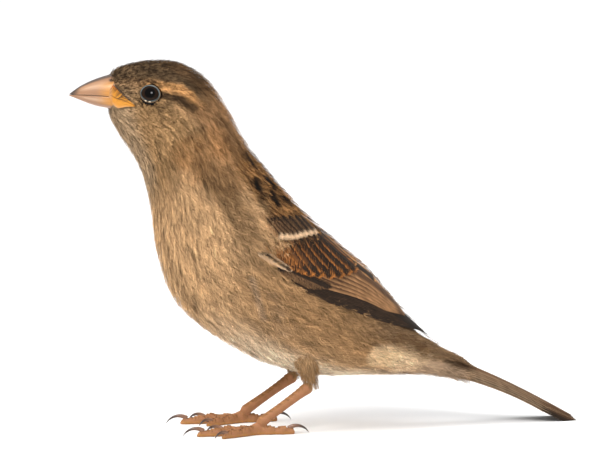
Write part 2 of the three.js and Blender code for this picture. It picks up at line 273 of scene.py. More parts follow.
# the mark's two ends (station, degrees), its radius and soft edge in mm, colour, strength
MARKS = [
    ((0.2, -60), (3.6, -88), 4.5, 5.0, CHIN, 0.9),
    ((0.3, 22), (2.2, 25), 1.2, 2.0, LORES, 0.7),
    ((2.4, 31), (3.2, 35), 0.5, 0.8, BROW, 0.5),            # over the eye
    ((3.2, 33), (4.1, 37), 0.9, 0.7, BROW, 0.95),           # behind it
    ((4.1, 37), (4.55, 36), 1.0, 0.9, BROW, 0.8),           # its end
    ((3.2, 22), (3.9, 25), 0.7, 0.7, DARK_STRIPE, 0.95),
    ((3.9, 25.5), (4.7, 29), 0.9, 0.9, DARK_STRIPE, 0.9),
    ((5.15, 14), (4.9, -8), 0.5, 1.0, EDGE_DARK, 0.85),     # hind edge of the cheek, low
    ((5.35, 34), (5.6, 28), 1.0, 1.8, NECK_PATCH, 0.4),
    ((12.5, -10), (13.1, 2), 2.4, 1.8, CREAM, 0.95),        # beside the vent
    ((13.3, -22), (15.0, -30), 2.2, 1.8, UNDERTAIL, 0.9),
    ((12.6, 26), (13.4, 22), 1.6, 1.6, SHOULDER, 0.75),     # below the wing's tip
    ((5.35, 22), (5.45, 8), 0.8, 1.2, EDGE_DARK, 0.85),     # hind edge of the cheek, high
    ((5.2, -8), (6.0, 30), 2.5, 3.0, NECK, 0.6),
    ((6.1, 2), (6.9, 20), 1.8, 3.6, SHOULDER, 0.9),
    ((8.92, -8), (9.86, -26), 0.4, 1.0, PARTING, 0.6),      # where the flank feathers part
    ((6.9, 12), (8.0, 12), 1.5, 3.5, SHOULDER, 0.6),
    ((0.2, 75), (1.6, 58), 1.6, 2.2, FOREHEAD, 0.8),
    ((3.8, 78), (4.7, 66), 2.6, 3.0, HIND_CROWN, 0.6),
    ((5.9, 55), (6.6, 50), 1.5, 2.5, EDGE_DARK, 0.35),      # before the mantle
]
# black blotches of the mantle: two ends and a radius
BLOTCHES = [
    ((7.5, 47), (7.62, 43), 0.9), ((7.75, 62), (7.95, 60), 1.0), ((7.95, 52), (8.2, 48), 0.8),
    ((7.75, 38), (8.0, 35), 0.6), ((7.0, 62), (7.25, 59), 0.6), ((8.25, 63), (8.5, 63), 0.5),
]


def fold(angle):
    """Degrees above the level of the bird's side, the same on the left and the right."""
    return np.degrees(np.arcsin(np.clip(np.sin(angle), -1, 1)))


def mirrored(points):
    """Points in mm, those of the right side laid over to the left."""
    return np.stack([np.abs(points[..., 0]), points[..., 1], points[..., 2]], axis=-1) / MM


def mark_distance(points, first, last):
    """Millimetres from points to the line between two places, on either side of the bird."""
    a, b = (on_body(station, math.radians(angle)) / MM for station, angle in (first, last))
    offset = mirrored(points) - a
    span = b - a
    t = np.clip((offset @ span) / (span @ span), 0, 1)
    return np.linalg.norm(offset - t[..., None] * span, axis=-1)


def ripple(station, angle, size):
    """A gentle unevenness between -1 and 1, a few millimetres from crest to crest."""
    p = on_body(station, angle) / (MM * size)
    x, y, z = p[..., 0], p[..., 1], p[..., 2]
    return (np.sin(1.7 * x + 1.1 * y + 0.6 * z) + np.sin(0.9 * y - 1.9 * z + 1.3 * x + 2.0)
            + np.sin(2.3 * z + 0.7 * x - 1.4 * y + 4.0)) / 3


def lattice(values, station, angle):
    """Random values on a grid over the whole bird, read smoothly between its points."""
    rows, columns = values.shape
    u = np.clip(station / (LAST_STATION + 3), 0, 0.999) * (rows - 1)
    v = (angle / (2 * math.pi)) % 1.0 * columns
    i, j = np.floor(u).astype(int), np.floor(v).astype(int)
    a, b = u - i, v - j
    j, k = j % columns, (j + 1) % columns
    return ((values[i, j] * (1 - b) + values[i, k] * b) * (1 - a)
            + (values[i + 1, j] * (1 - b) + values[i + 1, k] * b) * a)


HAIR_LINES = [random.normal(0.0, 1.0, (70, 300)), random.normal(0.0, 1.0, (40, 170))]
STREAKS = random.normal(0.0, 1.0, (56, 88))


def hair_lines(station, angle):
    """Fine lines of light and shade that run with the plumage."""
    wander = 0.05 * ripple(station, angle, 2.5)
    return sum(lattice(grid, station, angle + wander) for grid in HAIR_LINES) * 0.7


def mantle_share(station, rise):
    """How much a place belongs to the mantle, from 0 to 1."""
    return ramp(rise, 28, 40) * ramp(station, 5.8, 6.8) * (1 - ramp(station, 9.5, 11))


def mantle_black(station, angle):
    """How black the streaks and blotches of the mantle are at a place, from 0 to 1."""
    points = on_body(station, angle)
    black = 0.6 * ramp(lattice(STREAKS, station, angle), 0.6, 1.1)
    for first, last, radius in BLOTCHES:
        black = np.maximum(black, 1 - ramp(mark_distance(points, first, last), radius, radius + 0.6))
    return black


def plumage_colour(station, angle):
    """The plumage's colour at a place on the bird."""
    rise = fold(angle)
    colour = mix(fill(BREAST, rise), FLANK, ramp(rise, -50, -5) * ramp(station, 7.5, 9.5))
    colour = mix(colour, BELLY, ramp(-rise, 30, 56) * ramp(station, 8.4, 11.0) * 0.7)
    colour = mix(colour, MANTLE, ramp(rise, 28, 50) * ramp(station, 6, 7))
    colour = mix(colour, NAPE, ramp(rise, 8, 30) * (1 - ramp(station, 6, 7.5)))
    colour = mix(colour, CHEEK, (1 - ramp(rise, 8, 30)) * (1 - ramp(station, 4.6, 6)))
    colour = mix(colour, CROWN, ramp(rise, 32, 46) * (1 - ramp(station, 4.5, 5.4)))
    colour = mix(colour, RUMP, ramp(rise, -5, 30) * ramp(station, 11, 12))
    colour = mix(colour, UNDERTAIL, ramp(-rise, 20, 40) * ramp(station, 12.3, 13.3))
    points = on_body(station, angle)
    for first, last, radius, softness, tint, strength in MARKS:
        distance = mark_distance(points, first, last)
        colour = mix(colour, tint, strength * (1 - ramp(distance, radius, radius + softness)))
    colour = mix(colour, BLACK, mantle_share(station, rise) * mantle_black(station, angle))
    tone = 1 + 0.1 * ripple(station, angle, 3.0) + 0.25 * hair_lines(station, angle)
    return colour * np.clip(tone, 0.4, 1.6)[..., None]


def add_tint(mesh, colours):
    """Keeps a colour for each vertex of the mesh."""
    tint = mesh.color_attributes.new("tint", "FLOAT_COLOR", "POINT")
    rows = np.hstack([colours, np.ones((len(colours), 1))])
    tint.data.foreach_set("color", rows.astype(np.float32).ravel())


def smooth_shade(mesh):
    mesh.polygons.foreach_set("use_smooth", [True] * len(mesh.polygons))


def tinted_material(name, roughness, specular=0.1):
    """A surface in the colours of its tint."""
    material = plain_material(name, (0.3, 0.22, 0.15), roughness)
    tree = material.node_tree
    shader = tree.nodes["Principled BSDF"]
    tint = tree.nodes.new("ShaderNodeAttribute")
    tint.attribute_name = "tint"
    tree.links.new(tint.outputs["Color"], shader.inputs["Base Color"])
    shader.inputs["Specular IOR Level"].default_value = specular
    return material


COAT_DEPTH = np.array([1.1, 0.8, 0.6, 0.8, 1.0, 1.2, 1.3, 1.5, 1.6, 1.6, 1.6, 1.5, 1.4, 1.3, 1.5, 2.2])
HIP = np.array([9.5, 10.2, 25.0])       # on the left, in mm from between the feet
ANKLE = np.array([9.5, 12.8, 12.3])
THIGH_LENGTH = np.linalg.norm(ANKLE - HIP)
THIGH_RADII = np.array([[4.4], [4.0], [3.3], [2.6], [1.8]])   # hip to ankle
THIGH_COAT = 0.9
# painted shade: the skin takes the plumage's colours darkened to this share, as shade deep in the coat
SKIN_PAINTED_SHADE = 0.6                    # how bright the skin is beside the feathers over it


def coat_depth(station):
    """How deep the feathers lie over the skin, in mm."""
    return smooth_rows(COAT_DEPTH[:, None], station)[..., 0]


def on_thigh(side, share, angle, height=0.0):
    """The point at a place on a feathered thigh: share 0 at the hip and 1 at the ankle, angle 0
    on the outside and 90 degrees in front."""
    share, angle, height = np.broadcast_arrays(
        np.asarray(share, float), np.asarray(angle, float), np.asarray(height, float))
    axis = (ANKLE - HIP) / THIGH_LENGTH
    out = np.array([1.0, 0.0, 0.0])
    ahead = np.cross(out, axis)
    radius = profile(THIGH_RADII, share) + height
    point = (HIP + axis * THIGH_LENGTH * share[..., None]
             + out * (radius * np.cos(angle))[..., None] + ahead * (radius * np.sin(angle))[..., None])
    return placed(point * (side, 1, 1))


def grid_faces(rows, columns, across):
    """Quads between rows of points; the last column meets the first where across equals it."""
    return [(r * columns + c, r * columns + (c + 1) % columns,
             (r + 1) * columns + (c + 1) % columns, (r + 1) * columns + c)
            for r in range(rows - 1) for c in range(across)]


def closed_tube(name, points):
    """A tube from rows of points round it, with a fan over each end, facing outwards."""
    rows, sides = points.shape[:2]
    vertices = points.reshape(-1, 3).tolist()
    faces = grid_faces(rows, sides, sides)
    for row in (0, rows - 1):
        vertices.append(points[row].mean(axis=0).tolist())
        for c in range(sides):
            a, b = row * sides + c, row * sides + (c + 1) % sides
            faces.append((b, a, len(vertices) - 1) if row == 0 else (a, b, len(vertices) - 1))
    mesh = bpy.data.meshes.new(name)
    mesh.from_pydata(vertices, [], faces)
    work = bmesh.new()
    work.from_mesh(mesh)
    bmesh.ops.recalc_face_normals(work, faces=work.faces)
    work.to_mesh(mesh)
    work.free()
    return mesh


def make_real(piece):
    """Turns the piece's modifiers into its own mesh."""
    graph = bpy.context.evaluated_depsgraph_get()
    mesh = bpy.data.meshes.new_from_object(piece.evaluated_get(graph))
    piece.modifiers.clear()
    piece.data = mesh


def melt(piece, voxel_size, rounds):
    """Melts the piece's parts into one surface, with voxels in mm, then smooths it in rounds."""
    remesh = piece.modifiers.new("remesh", "REMESH")
    remesh.mode = "VOXEL"
    remesh.voxel_size = voxel_size * MM
    soften = piece.modifiers.new("soften", "SMOOTH")
    soften.iterations = rounds
    make_real(piece)
    smooth_shade(piece.data)


def vertex_points(mesh):
    points = np.empty(len(mesh.vertices) * 3)
    mesh.vertices.foreach_get("co", points)
    return points.reshape(-1, 3)


skin_angles = np.linspace(-math.pi, math.pi, 72, endpoint=False)
skin_stations = np.linspace(0.0, LAST_STATION, 120)
skin_points = on_body(skin_stations[:, None], skin_angles, -coat_depth(skin_stations)[:, None])
skin_material = tinted_material("skin", 0.75)
skin = link_mesh("skin", closed_tube("skin", skin_points), skin_material)
shares = np.linspace(0.0, 1.0, 24)
for side, _ in SIDES:
    thigh_points = on_thigh(side, shares[:, None], skin_angles[::2], -THIGH_COAT)
    thigh = link_mesh("thigh", closed_tube("thigh", thigh_points), skin_material)
    union = skin.modifiers.new("union", "BOOLEAN")
    union.operation = "UNION"
    union.object = thigh
    make_real(skin)
    bpy.data.objects.remove(thigh)
melt(skin, 0.8, 6)


def nearest_place(points):
    """The station and angle on the body nearest to each point."""
    grid_s = np.linspace(0, LAST_STATION, 160)
    grid_a = np.linspace(-math.pi, math.pi, 120, endpoint=False)
    grid = on_body(grid_s[:, None], grid_a, -1.0).reshape(-1, 3)
    tree = KDTree(len(grid))
    for i, point in enumerate(grid):
        tree.insert(point, i)
    tree.balance()
    found = np.array([tree.find(point)[1] for point in points])
    return grid_s[found // len(grid_a)], grid_a[found % len(grid_a)]


skin_places = nearest_place(vertex_points(skin.data))
# the plumage's colours, darkened as painted shade under the feathers
add_tint(skin.data, np.clip(plumage_colour(*skin_places) * SKIN_PAINTED_SHADE, 0, 1))

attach(skin, "root")
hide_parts("head", "neck", "trunk", "thigh_left", "thigh_right")

# --- Contour feathers ---------------------------------------------------------------------------
# The body feathers, grown from the skin in rows that lie over one another towards the tail like
# roof tiles. Each is a stiff shaft with a row of loose barbs on each side; they are smallest on
# the face, and hairy on the breast and flanks.

# a feather's build: the barbs on each side, where each bends as shares of its reach, how far it
# leans to the tip, how much of the vane is covered, a barb's tip beside its root, how unruly the
# barbs are, and in mm how far the sides droop, the barbs lift, and half the shaft's width
HAIRY = dict(barbs=13, bends=(0, 0.4, 0.75, 1), slope=2.8, cover=0.52, end=0.12, loose=0.32,
             droop=0.10, lift=0.16, shaft=0.05)
DOWNY = dict(barbs=6, bends=(0, 0.55, 1), slope=1.9, cover=0.75, end=0.15, loose=0.30,
             droop=0.06, lift=0.07, shaft=0.035)


def metric(station, angle):
    """Millimetres per station along the body, and per radian round it, at a place."""
    step = 0.02
    along = on_body(station + step, angle) - on_body(station - step, angle)
    around = on_body(station, angle + step) - on_body(station, angle - step)
    return (np.linalg.norm(along, axis=-1) / (2 * step * MM),
            np.linalg.norm(around, axis=-1) / (2 * step * MM))


def contour_outline(u):
    """How far barbs reach out at a share of the feather's length: 1 is its half width."""
    return np.clip(np.sin(np.pi * np.clip(u, 0, 1) ** 0.75), 0, 1) ** 0.55 * (1 - 0.25 * u)


def path_length(path, scales):
    """The length in mm of smooth lines, each from a root over a middle place to a tip."""
    root, middle, tip = path
    runs = [(-3 * root + 4 * middle - tip) * scales[0], (tip - root) * scales[1],
            (root - 4 * middle + 3 * tip) * scales[2]]
    return sum(w * np.linalg.norm(r, axis=-1) for w, r in zip((1 / 6, 4 / 6, 1 / 6), runs))


def beside_path(path, scales, share, out):
    """The station and angle at a share of the way along a path and so many mm to its left."""
    root, middle, tip = (places[:, None] for places in path)
    t = np.clip(share, 0, 1.1)[..., None]
    weights = ((1 - t) * (1 - 2 * t), 4 * t * (1 - t), t * (2 * t - 1))
    at = sum(w * p for w, p in zip(weights, (root, middle, tip)))
    local = sum(w * s[:, None] for w, s in zip(weights, scales))
    heading = ((4 * t - 3) * root + (4 - 8 * t) * middle + (4 * t - 1) * tip) * local
    heading = heading / np.linalg.norm(heading, axis=-1, keepdims=True)
    return at + np.stack([-heading[..., 1] * out, heading[..., 0] * out], axis=-1) / local


BARE_QUILL = 0.07                  # share of a feather's length below its first barb
SHAFT_STEPS = 6
EDGES = np.array([-1.0, 1.0])      # the two edges of a strip


def barb_strips(length, width, outline, barbs, bend, slope, cover, end, loose, lift, skew):
    """Strips on both sides of flat feathers: along, out and up in mm, and the tone of each."""
    count = len(length)
    start = BARE_QUILL + (1 - BARE_QUILL) * (np.arange(barbs) + 0.5) / barbs
    sides = np.array([1.0, -1.0])
    reach = width[..., None] * (1 + skew * sides)[None, :, None] * outline(start)
    spin = random.normal(0.0, 1.0, (2, count, 2, barbs)) * loose
    ahead = slope * (1 + spin[0])
    wide = 1 + 0.5 * spin[1]
    along = (start[:, None] * 0.97 * length[:, None, None, None]
             + (reach * ahead)[..., None] * bend ** 1.25)
    along = np.minimum(along, length[:, None, None, None] * 1.08)
    out = sides[:, None, None] * (reach * wide)[..., None] * bend ** 0.85
    thick = (length * 0.93 / barbs)[:, None, None, None] * cover / 2 * (1 - (1 - end) * bend)
    along = along[..., None] + thick[..., None] * EDGES
    raised = lift * np.abs(random.normal(0.0, 1.0, (count, 2, barbs, 1, 1))) * bend[:, None] ** 2
    locks = np.repeat(random.normal(0.0, 1.0, (count, 2, -(-barbs // 3))), 3, axis=2)[:, :, :barbs]
    tone = 0.7 * random.normal(0.0, 1.0, locks.shape) + 0.7 * locks
    return [np.broadcast_to(values, along.shape).reshape(count, -1)
            for values in (along, out[..., None], raised, tone[..., None, None])]


def shaft_strip(length, half_width):
    """The strips of the shafts, as barb_strips gives those of the barbs."""
    steps = np.linspace(0.0, 0.97, SHAFT_STEPS)
    along = (steps[:, None] * length[:, None, None] * np.ones(2)).reshape(len(length), -1)
    out = (EDGES * half_width * (1.15 - steps)[:, None]).reshape(1, -1)
    return along, np.broadcast_to(out, along.shape), np.full_like(along, half_width * 0.5), 0 * along


class Feathers:
    """Feathers of one build, each laid from its root over a middle place to its tip. place holds
    the station, angle and height of every vertex, share how far along its feather it is, and
    across how far out to the left (1) or right (-1)."""

    def __init__(self, root, tip, half_width, low, high, outline, barbs, bends, slope, cover, end,
                 loose, droop, lift, shaft, middle=None, scale=metric, skew=0.0):
        middle = (root + tip) / 2 if middle is None else middle
        path = (root, middle, tip)
        scales = [np.stack(scale(places[:, 0], places[:, 1]), axis=-1) for places in path]
        length = path_length(path, scales)
        width, low, high = (np.broadcast_to(np.asarray(value, float), (len(root),))[:, None]
                            for value in (half_width, low, high))
        vane = barb_strips(length, width, outline, barbs, np.asarray(bends, float), slope, cover,
                           end, loose, lift, skew)
        along, out, raised, self.tone = (
            np.concatenate(pair, axis=1) for pair in zip(vane, shaft_strip(length, shaft)))
        self.on_shaft = np.arange(along.shape[1]) >= vane[0].shape[1]
        self.root = root
        self.share = along / length[:, None]
        self.across = out / width
        at = beside_path(path, scales, self.share, out)
        height = low + (high - low) * np.clip(self.share, 0, 1) + raised - droop * self.across ** 2
        self.place = np.concatenate([at, height[..., None]], axis=-1)
        self.faces = self.strips(barbs, len(bends))

    @staticmethod
    def strips(barbs, bends):
        """The quads of one feather: its barbs on the left, on the right, and its shaft."""
        faces = []
        for strip in range(2 * barbs):
            first = strip * bends * 2
            for a in range(first, first + 2 * bends - 2, 2):
                face = (a, a + 1, a + 3, a + 2)
                faces.append(face if strip < barbs else face[::-1])
        first = 4 * barbs * bends
        faces += [(a, a + 2, a + 3, a + 1) for a in range(first, first + 2 * SHAFT_STEPS - 2, 2)]
        return np.array(faces)

    def take(self, which):
        """Some of these feathers, as a lot of their own."""
        part = object.__new__(Feathers)
        part.faces, part.on_shaft = self.faces, self.on_shaft
        for key in ("root", "place", "share", "across", "tone", "colour"):
            setattr(part, key, getattr(self, key)[which])
        return part


PATCH = 0.003                       # size of one feather on the unwrapped skin
PIECE_LIMIT = 190000                # triangles


def skin_chart(station, angle):
    """The place's spot on the skin unwrapped along the belly."""
    return np.stack([(angle + math.pi) / (2 * math.pi) % 1.0, station / (LAST_STATION + 3)], axis=-1)


def feather_pieces(name, lots, material, surface=on_body, chart=skin_chart):
    """Meshes of several lots of feathers, with their colours and their places on the skin."""
    parts = []
    for lot in lots:
        size = PIECE_LIMIT // (2 * len(lot.faces))
        parts += [lot.take(slice(i, i + size)) for i in range(0, len(lot.root), size)]
    groups, room = [], 0
    for part in parts:
        cost = 2 * len(part.faces) * len(part.root)
        if not groups or cost > room:
            groups.append([])
            room = PIECE_LIMIT
        groups[-1].append(part)
        room -= cost
    pieces = []
    for number, group in enumerate(groups):
        label = f"{name}_{number + 1}" if len(groups) > 1 else name
        pieces.append(feather_piece(label, group, material, surface, chart))
    return pieces


def feather_piece(name, lots, material, surface, chart):
    """One mesh of some lots of feathers."""
    points, colours, patches, faces = [], [], [], []
    first = 0
    for lot in lots:
        count, corners = lot.place.shape[:2]
        points.append(surface(*np.moveaxis(lot.place, -1, 0)).reshape(-1, 3))
        colours.append(lot.colour.reshape(-1, 3))
        home = PATCH + chart(lot.root[:, 0], lot.root[:, 1]) * (1 - 3 * PATCH)
        local = np.clip(np.stack([(lot.across + 1) / 2, lot.share], axis=-1), 0, 1)
        patches.append((home[:, None, :] + PATCH * local).reshape(-1, 2))
        step = (np.arange(count) * corners)[:, None, None] + first
        faces.append((lot.faces[None] + step).reshape(-1, 4))
        first += count * corners
    points, colours = np.concatenate(points), np.concatenate(colours)
    patches, faces = np.concatenate(patches), np.concatenate(faces)
    mesh = bpy.data.meshes.new(name)
    mesh.vertices.add(len(points))
    mesh.vertices.foreach_set("co", points.ravel())
    mesh.loops.add(faces.size)
    mesh.loops.foreach_set("vertex_index", faces.ravel())
    mesh.polygons.add(len(faces))
    mesh.polygons.foreach_set("loop_start", np.arange(len(faces)) * 4)
    mesh.polygons.foreach_set("loop_total", np.full(len(faces), 4))
    mesh.update(calc_edges=True)
    add_tint(mesh, colours)
    layer = mesh.uv_layers.new(name="OFBake")
    layer.data.foreach_set("uv", patches[faces.ravel()].astype(np.float32).ravel())
    smooth_shade(mesh)
    return link_mesh(name, mesh, material)


def paint(lot, colour, spread=0.13, barb_spread=0.36, shadow=0.7, pale_tip=0.26):
    """Colours the vertices: the given colour, varied by feather and barb, with painted shade at
    the root where the feathers overlap, and a little paler at the tip."""
    each = 1 + random.normal(0.0, spread, (len(lot.root), 1)) + lot.tone * barb_spread
    depth = 1 - shadow * (1 - ramp(lot.share, 0.0, 0.6)) + pale_tip * ramp(lot.share, 0.7, 1.0)
    lot.colour = np.clip(colour * (each * depth)[..., None], 0.0, 1.0)
    return lot


# feather length, half width, row spacing and side spacing in mm at each station
SIZES = np.array([
    (1.3, 0.38, 0.46, 0.50), (1.6, 0.42, 0.48, 0.52), (1.9, 0.46, 0.52, 0.56),
    (2.5, 0.55, 0.60, 0.62), (3.2, 0.70, 0.70, 0.75), (4.6, 0.90, 0.90, 0.90),
    (6.0, 1.15, 1.10, 1.10), (7.0, 1.35, 1.25, 1.25), (7.6, 1.50, 1.35, 1.35),
    (8.0, 1.60, 1.40, 1.40), (8.2, 1.60, 1.40, 1.40), (8.4, 1.60, 1.35, 1.35),
    (8.8, 1.60, 1.30, 1.30), (9.4, 1.60, 1.25, 1.25), (10.0, 1.60, 1.20, 1.20),
    (10.0, 1.60, 1.20, 1.20),
])
EYE_PLACE = (2.77, math.radians(19.2))
EYE_BARE = 2.32                    # radius of the bare lids, mm

# the bare corner of the mouth, as (station, degrees): its upper and lower edges
GAPE_BACK = 2.15
GAPE_TOP = np.array([(-0.8, 66), (-0.2, 49), (0.0, 44), (0.6, 24), (1.05, 13), (1.6, 4),
                     (GAPE_BACK, -2.2)])
GAPE_LOW = np.array([(-0.2, -50), (0.16, -46), (0.96, -25), (1.54, -12), (GAPE_BACK, -3.0)])

# where the folded wing lies, as (station, degrees): its lower edge, and the line above which
# mantle and scapular feathers cover it
WING_LOWER = np.array([(7.3, -14), (8.0, 0), (8.7, 9), (9.27, 14), (9.7, 16), (10.43, 21.5),
                       (11.45, 31), (12.24, 44.5), (13.05, 69.8), (13.46, 90)])
WING_UPPER = np.array([(8.25, 14), (8.4, 30), (8.65, 44), (8.95, 54), (9.25, 62), (10.0, 76),
                       (12.0, 83), (13.46, 90)])


def wing_rise(station, angle):
    """How far the folded wing lifts the plumage above the body's outline, in mm."""
    rise = fold(angle)
    per_radian = metric(station, angle)[1]
    below = (rise - np.interp(station, *WING_LOWER.T)) * np.pi / 180 * per_radian
    inside = ramp(below, -3.0, 1.0) * ramp(station, 6.9, 8.0) * (1 - ramp(station, 12.4, 13.4))
    inside *= 1 - 0.9 * ramp(station, 9.2, 9.9) * (1 - ramp(below, 1.0, 3.0))
    return 1.5 * inside * (1 - 0.8 * ramp(rise, 45, 78)) * (1 - 0.45 * ramp(station, 9, 12))


def seed_rows(first_station, last_station):
    """Roots of feathers, row after row, each row shifted by half a step."""
    rows, station, ring = [], first_station, np.linspace(-math.pi, math.pi, 33)
    while station < last_station:
        row_gap, side_gap = smooth_rows(SIZES, np.array(max(station, 0.0)))[2:]
        per_station, per_radian = metric(np.full(33, station), ring)
        around = np.concatenate([[0.0], np.cumsum((per_radian[1:] + per_radian[:-1]) / 2)])
        count = int(around[-1] * (ring[1] - ring[0]) / side_gap)
        share = (np.arange(count) + 0.5 * (len(rows) % 2) + random.normal(0, 0.18, count)) / count
        angle = np.interp(share % 1.0, around / around[-1], ring)
        step = row_gap / np.median(per_station)
        rows.append(np.stack([station + random.normal(0, 0.28, count) * step, angle], axis=-1))
        station += step
    return np.concatenate(rows)


def eye_distance(places):
    """Millimetres from places on the body to the middle of the nearer eye."""
    return np.linalg.norm(mirrored(on_body(*places.T)) - on_body(*EYE_PLACE) / MM, axis=-1)


def without_coat(seeds):
    """Which roots lie where no feather of the coat grows: under the folded wing, at the corners
    of the mouth, beside the tail and on the lids."""
    station, rise = seeds[:, 0], fold(seeds[:, 1])
    under_wing = ((station > 8.25) & (rise > np.interp(station, *WING_LOWER.T) + 1)
                  & (rise < np.interp(station, *WING_UPPER.T)) & (station < 13.46))
    at_mouth = ((station < GAPE_BACK) & (rise < np.interp(station, *GAPE_TOP.T))
                & ((rise > np.interp(station, *GAPE_LOW.T)) | (station < 0.05)))
    beside_tail = station > 13.2 + 1.4 * ramp(-rise, -2, 22) + 1.3 * ramp(rise, 35, 60)
    on_lids = eye_distance(seeds) < EYE_BARE - 0.35 * ramp(station, 2.6, 3.0)
    return under_wing | at_mouth | beside_tail | on_lids


def feather_tips(seeds):
    """Where the feathers end: longer on the throat, and just short of the lids before the eye."""
    station, rise = seeds[:, 0], fold(seeds[:, 1])
    lengths = smooth_rows(SIZES, station)[:, 0] * random.uniform(0.82, 1.2, len(seeds))
    lengths *= 1 + 0.5 * ramp(-rise, 25, 60) * (1 - ramp(station, 3, 6))
    turns = random.normal(0.0, 0.12, len(seeds)) + 0.22 * ripple(station, seeds[:, 1], 2.6)
    room = eye_distance(seeds) - EYE_BARE
    before_eye = (station < EYE_PLACE[0]) & (room < lengths)
    lengths = np.where(before_eye, np.clip(room + 0.1, 0.5, lengths), lengths)
    per_station, per_radian = metric(station, seeds[:, 1])
    return seeds + np.stack([lengths * np.cos(turns) / per_station,
                             lengths * np.sin(turns) / per_radian], axis=-1)


def tip_heights(seeds, tips):
    """How far the tips stand above the outline: loose on the chin, and close on the face."""
    station, rise = seeds[:, 0], fold(seeds[:, 1])
    high = wing_rise(tips[:, 0], tips[:, 1]) + random.normal(0.04, 0.10, len(seeds))
    high += 0.12 * ripple(station, seeds[:, 1], 1.6) * ramp(station, 3, 6)
    chin = ramp(-rise, 45, 70) * (1 - ramp(station, 3.5, 5)) * ramp(station, 0.5, 1.5)
    high += (0.3 + random.uniform(-0.3, 0.7, len(seeds))) * chin
    high -= 0.22 * (1 - ramp(station, 3, 6)) * ramp(station, 0.3, 1.0)
    return high + 0.2 * (1 - ramp(station, 0.0, 0.6))


seeds = seed_rows(-0.7, 14.6)
seeds = seeds[~without_coat(seeds)]
tips = feather_tips(seeds)
low = wing_rise(seeds[:, 0], seeds[:, 1]) - 0.8 * coat_depth(seeds[:, 0])
high = tip_heights(seeds, tips)
half_widths = smooth_rows(SIZES, seeds[:, 0])[:, 1] * random.uniform(0.85, 1.15, len(seeds))


def contour_lot(which, build):
    """The body feathers of the chosen roots, in their colours."""
    lot = Feathers(seeds[which], tips[which], half_widths[which], low[which], high[which],
                   contour_outline, **build)
    colour = plumage_colour(lot.place[..., 0], lot.place[..., 1])
    home = plumage_colour(lot.root[:, 0], lot.root[:, 1])[:, None, :]
    colour = 0.6 * colour + 0.4 * home
    station, rise = lot.root[:, :1], fold(lot.root[:, 1:2])
    # dark centres: bold on the mantle and under the tail, faint on the crown and rump
    mantle = mantle_share(station, rise)
    crown = 0.35 * ramp(rise, 30, 46) * (1 - ramp(station, 5, 6.5))
    under_tail = 0.7 * ramp(-rise, 5, 20) * ramp(station, 12.8, 13.6)
    bold = random.uniform(0.05, 0.7, station.shape) + 0.15 * hair_lines(station, lot.root[:, 1:2])
    centre = 1 - ramp(np.abs(lot.across), bold - 0.2, bold + 0.15)
    strength = np.maximum(np.maximum(mantle, crown), under_tail) * ramp(lot.share, 0.25, 0.5)
    specks = ((random.uniform(0, 1, station.shape) < 0.6) * ramp(rise, -8, 4)
              * (1 - ramp(station, 2.6, 4.0)) * ramp(lot.share, 0.6, 0.75))
    colour = mix(colour, EDGE_DARK * 0.3, 0.9 * specks)
    edge = WARM + (BROW - WARM) * random.uniform(0, 1, station.shape)[..., None]
    colour = mix(colour, edge, 0.7 * mantle)
    colour = mix(colour, EDGE_DARK * 0.3, centre * strength * (1 - 0.4 * (under_tail > 0)))
    colour = mix(colour, BLACK, mantle * mantle_black(lot.place[..., 0], lot.place[..., 1]))
    return paint(lot, colour)


plume = tinted_material("contour_feathers", 0.8)
small = seeds[:, 0] < 4.0
coat = feather_pieces("plumage_head", [contour_lot(small, DOWNY)], plume)
coat += feather_pieces("plumage_body", [contour_lot(~small, HAIRY)], plume)
for piece in coat:
    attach(piece, "root")

# --- Thigh feathers -----------------------------------------------------------------------------
# Short hairy feathers that clothe the leg down to the ankle, grown like those of the flanks but
# lying down the thigh.

THIGH_ROWS = np.arange(0.1, 0.97, 0.055)    # shares of the way from hip to ankle
THIGH_SPACING = 0.85               # mm from root to root
THIGH_FEATHER = 3.6                # mm long at the hip
THIGH_HALF_WIDTH = 0.75
THIGH_QUILL = -0.7                 # height of the roots


def thigh_scale(share, angle):
    """What metric gives for the body, on a thigh."""
    return np.full(np.shape(share), THIGH_LENGTH), profile(THIGH_RADII, share)


def thigh_chart(share, angle):
    return np.stack([angle / (2 * math.pi) % 1 * 0.1 + 0.45, 0.9 + share * 0.08], axis=-1)


for side, label in SIDES:
    rows = []
    for number, share in enumerate(THIGH_ROWS):
        count = int(2 * math.pi * float(profile(THIGH_RADII, share)) / THIGH_SPACING)
        angle = (np.arange(count) + 0.5 * (number % 2) + random.normal(0, 0.2, count)) / count
        rows.append(np.stack([share + random.normal(0, 0.012, count), angle * 2 * math.pi], axis=-1))
    rows = np.concatenate(rows)
    length = THIGH_FEATHER * (1 - 0.45 * rows[:, 0]) * random.uniform(0.8, 1.25, len(rows))
    turn = random.normal(0, 0.12, len(rows))
    scale_s, scale_a = thigh_scale(rows[:, 0], rows[:, 1])
    ends = rows + np.stack([length * np.cos(turn) / scale_s, length * np.sin(turn) / scale_a], -1)
    lot = Feathers(rows, ends, THIGH_HALF_WIDTH, THIGH_QUILL, random.normal(0.0, 0.08, len(rows)),
                   contour_outline, scale=thigh_scale, **dict(HAIRY, barbs=9))
    tone = mix(fill(BREAST, lot.share), FLANK, ramp(lot.place[..., 0], 0.3, 0.9))
    streak = (1 - ramp(np.abs(lot.across), 0.15, 0.45)) * random.uniform(0, 0.6, (len(rows), 1))
    paint(lot, mix(tone, EDGE_DARK, streak))
    piece, = feather_pieces(f"plumage_thigh_{label}", [lot], plume, partial(on_thigh, side),
                            thigh_chart)
    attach(piece, "root")

# --- Wing feathers ------------------------------------------------------------------------------
# The folded wing, shingled from below upwards: primaries, secondaries, tertials, then the coverts
# that hide their quills. Dark brown vanes, whose barbs hook together, with rufous edges, and a
# whitish bar on the tips of the median coverts.

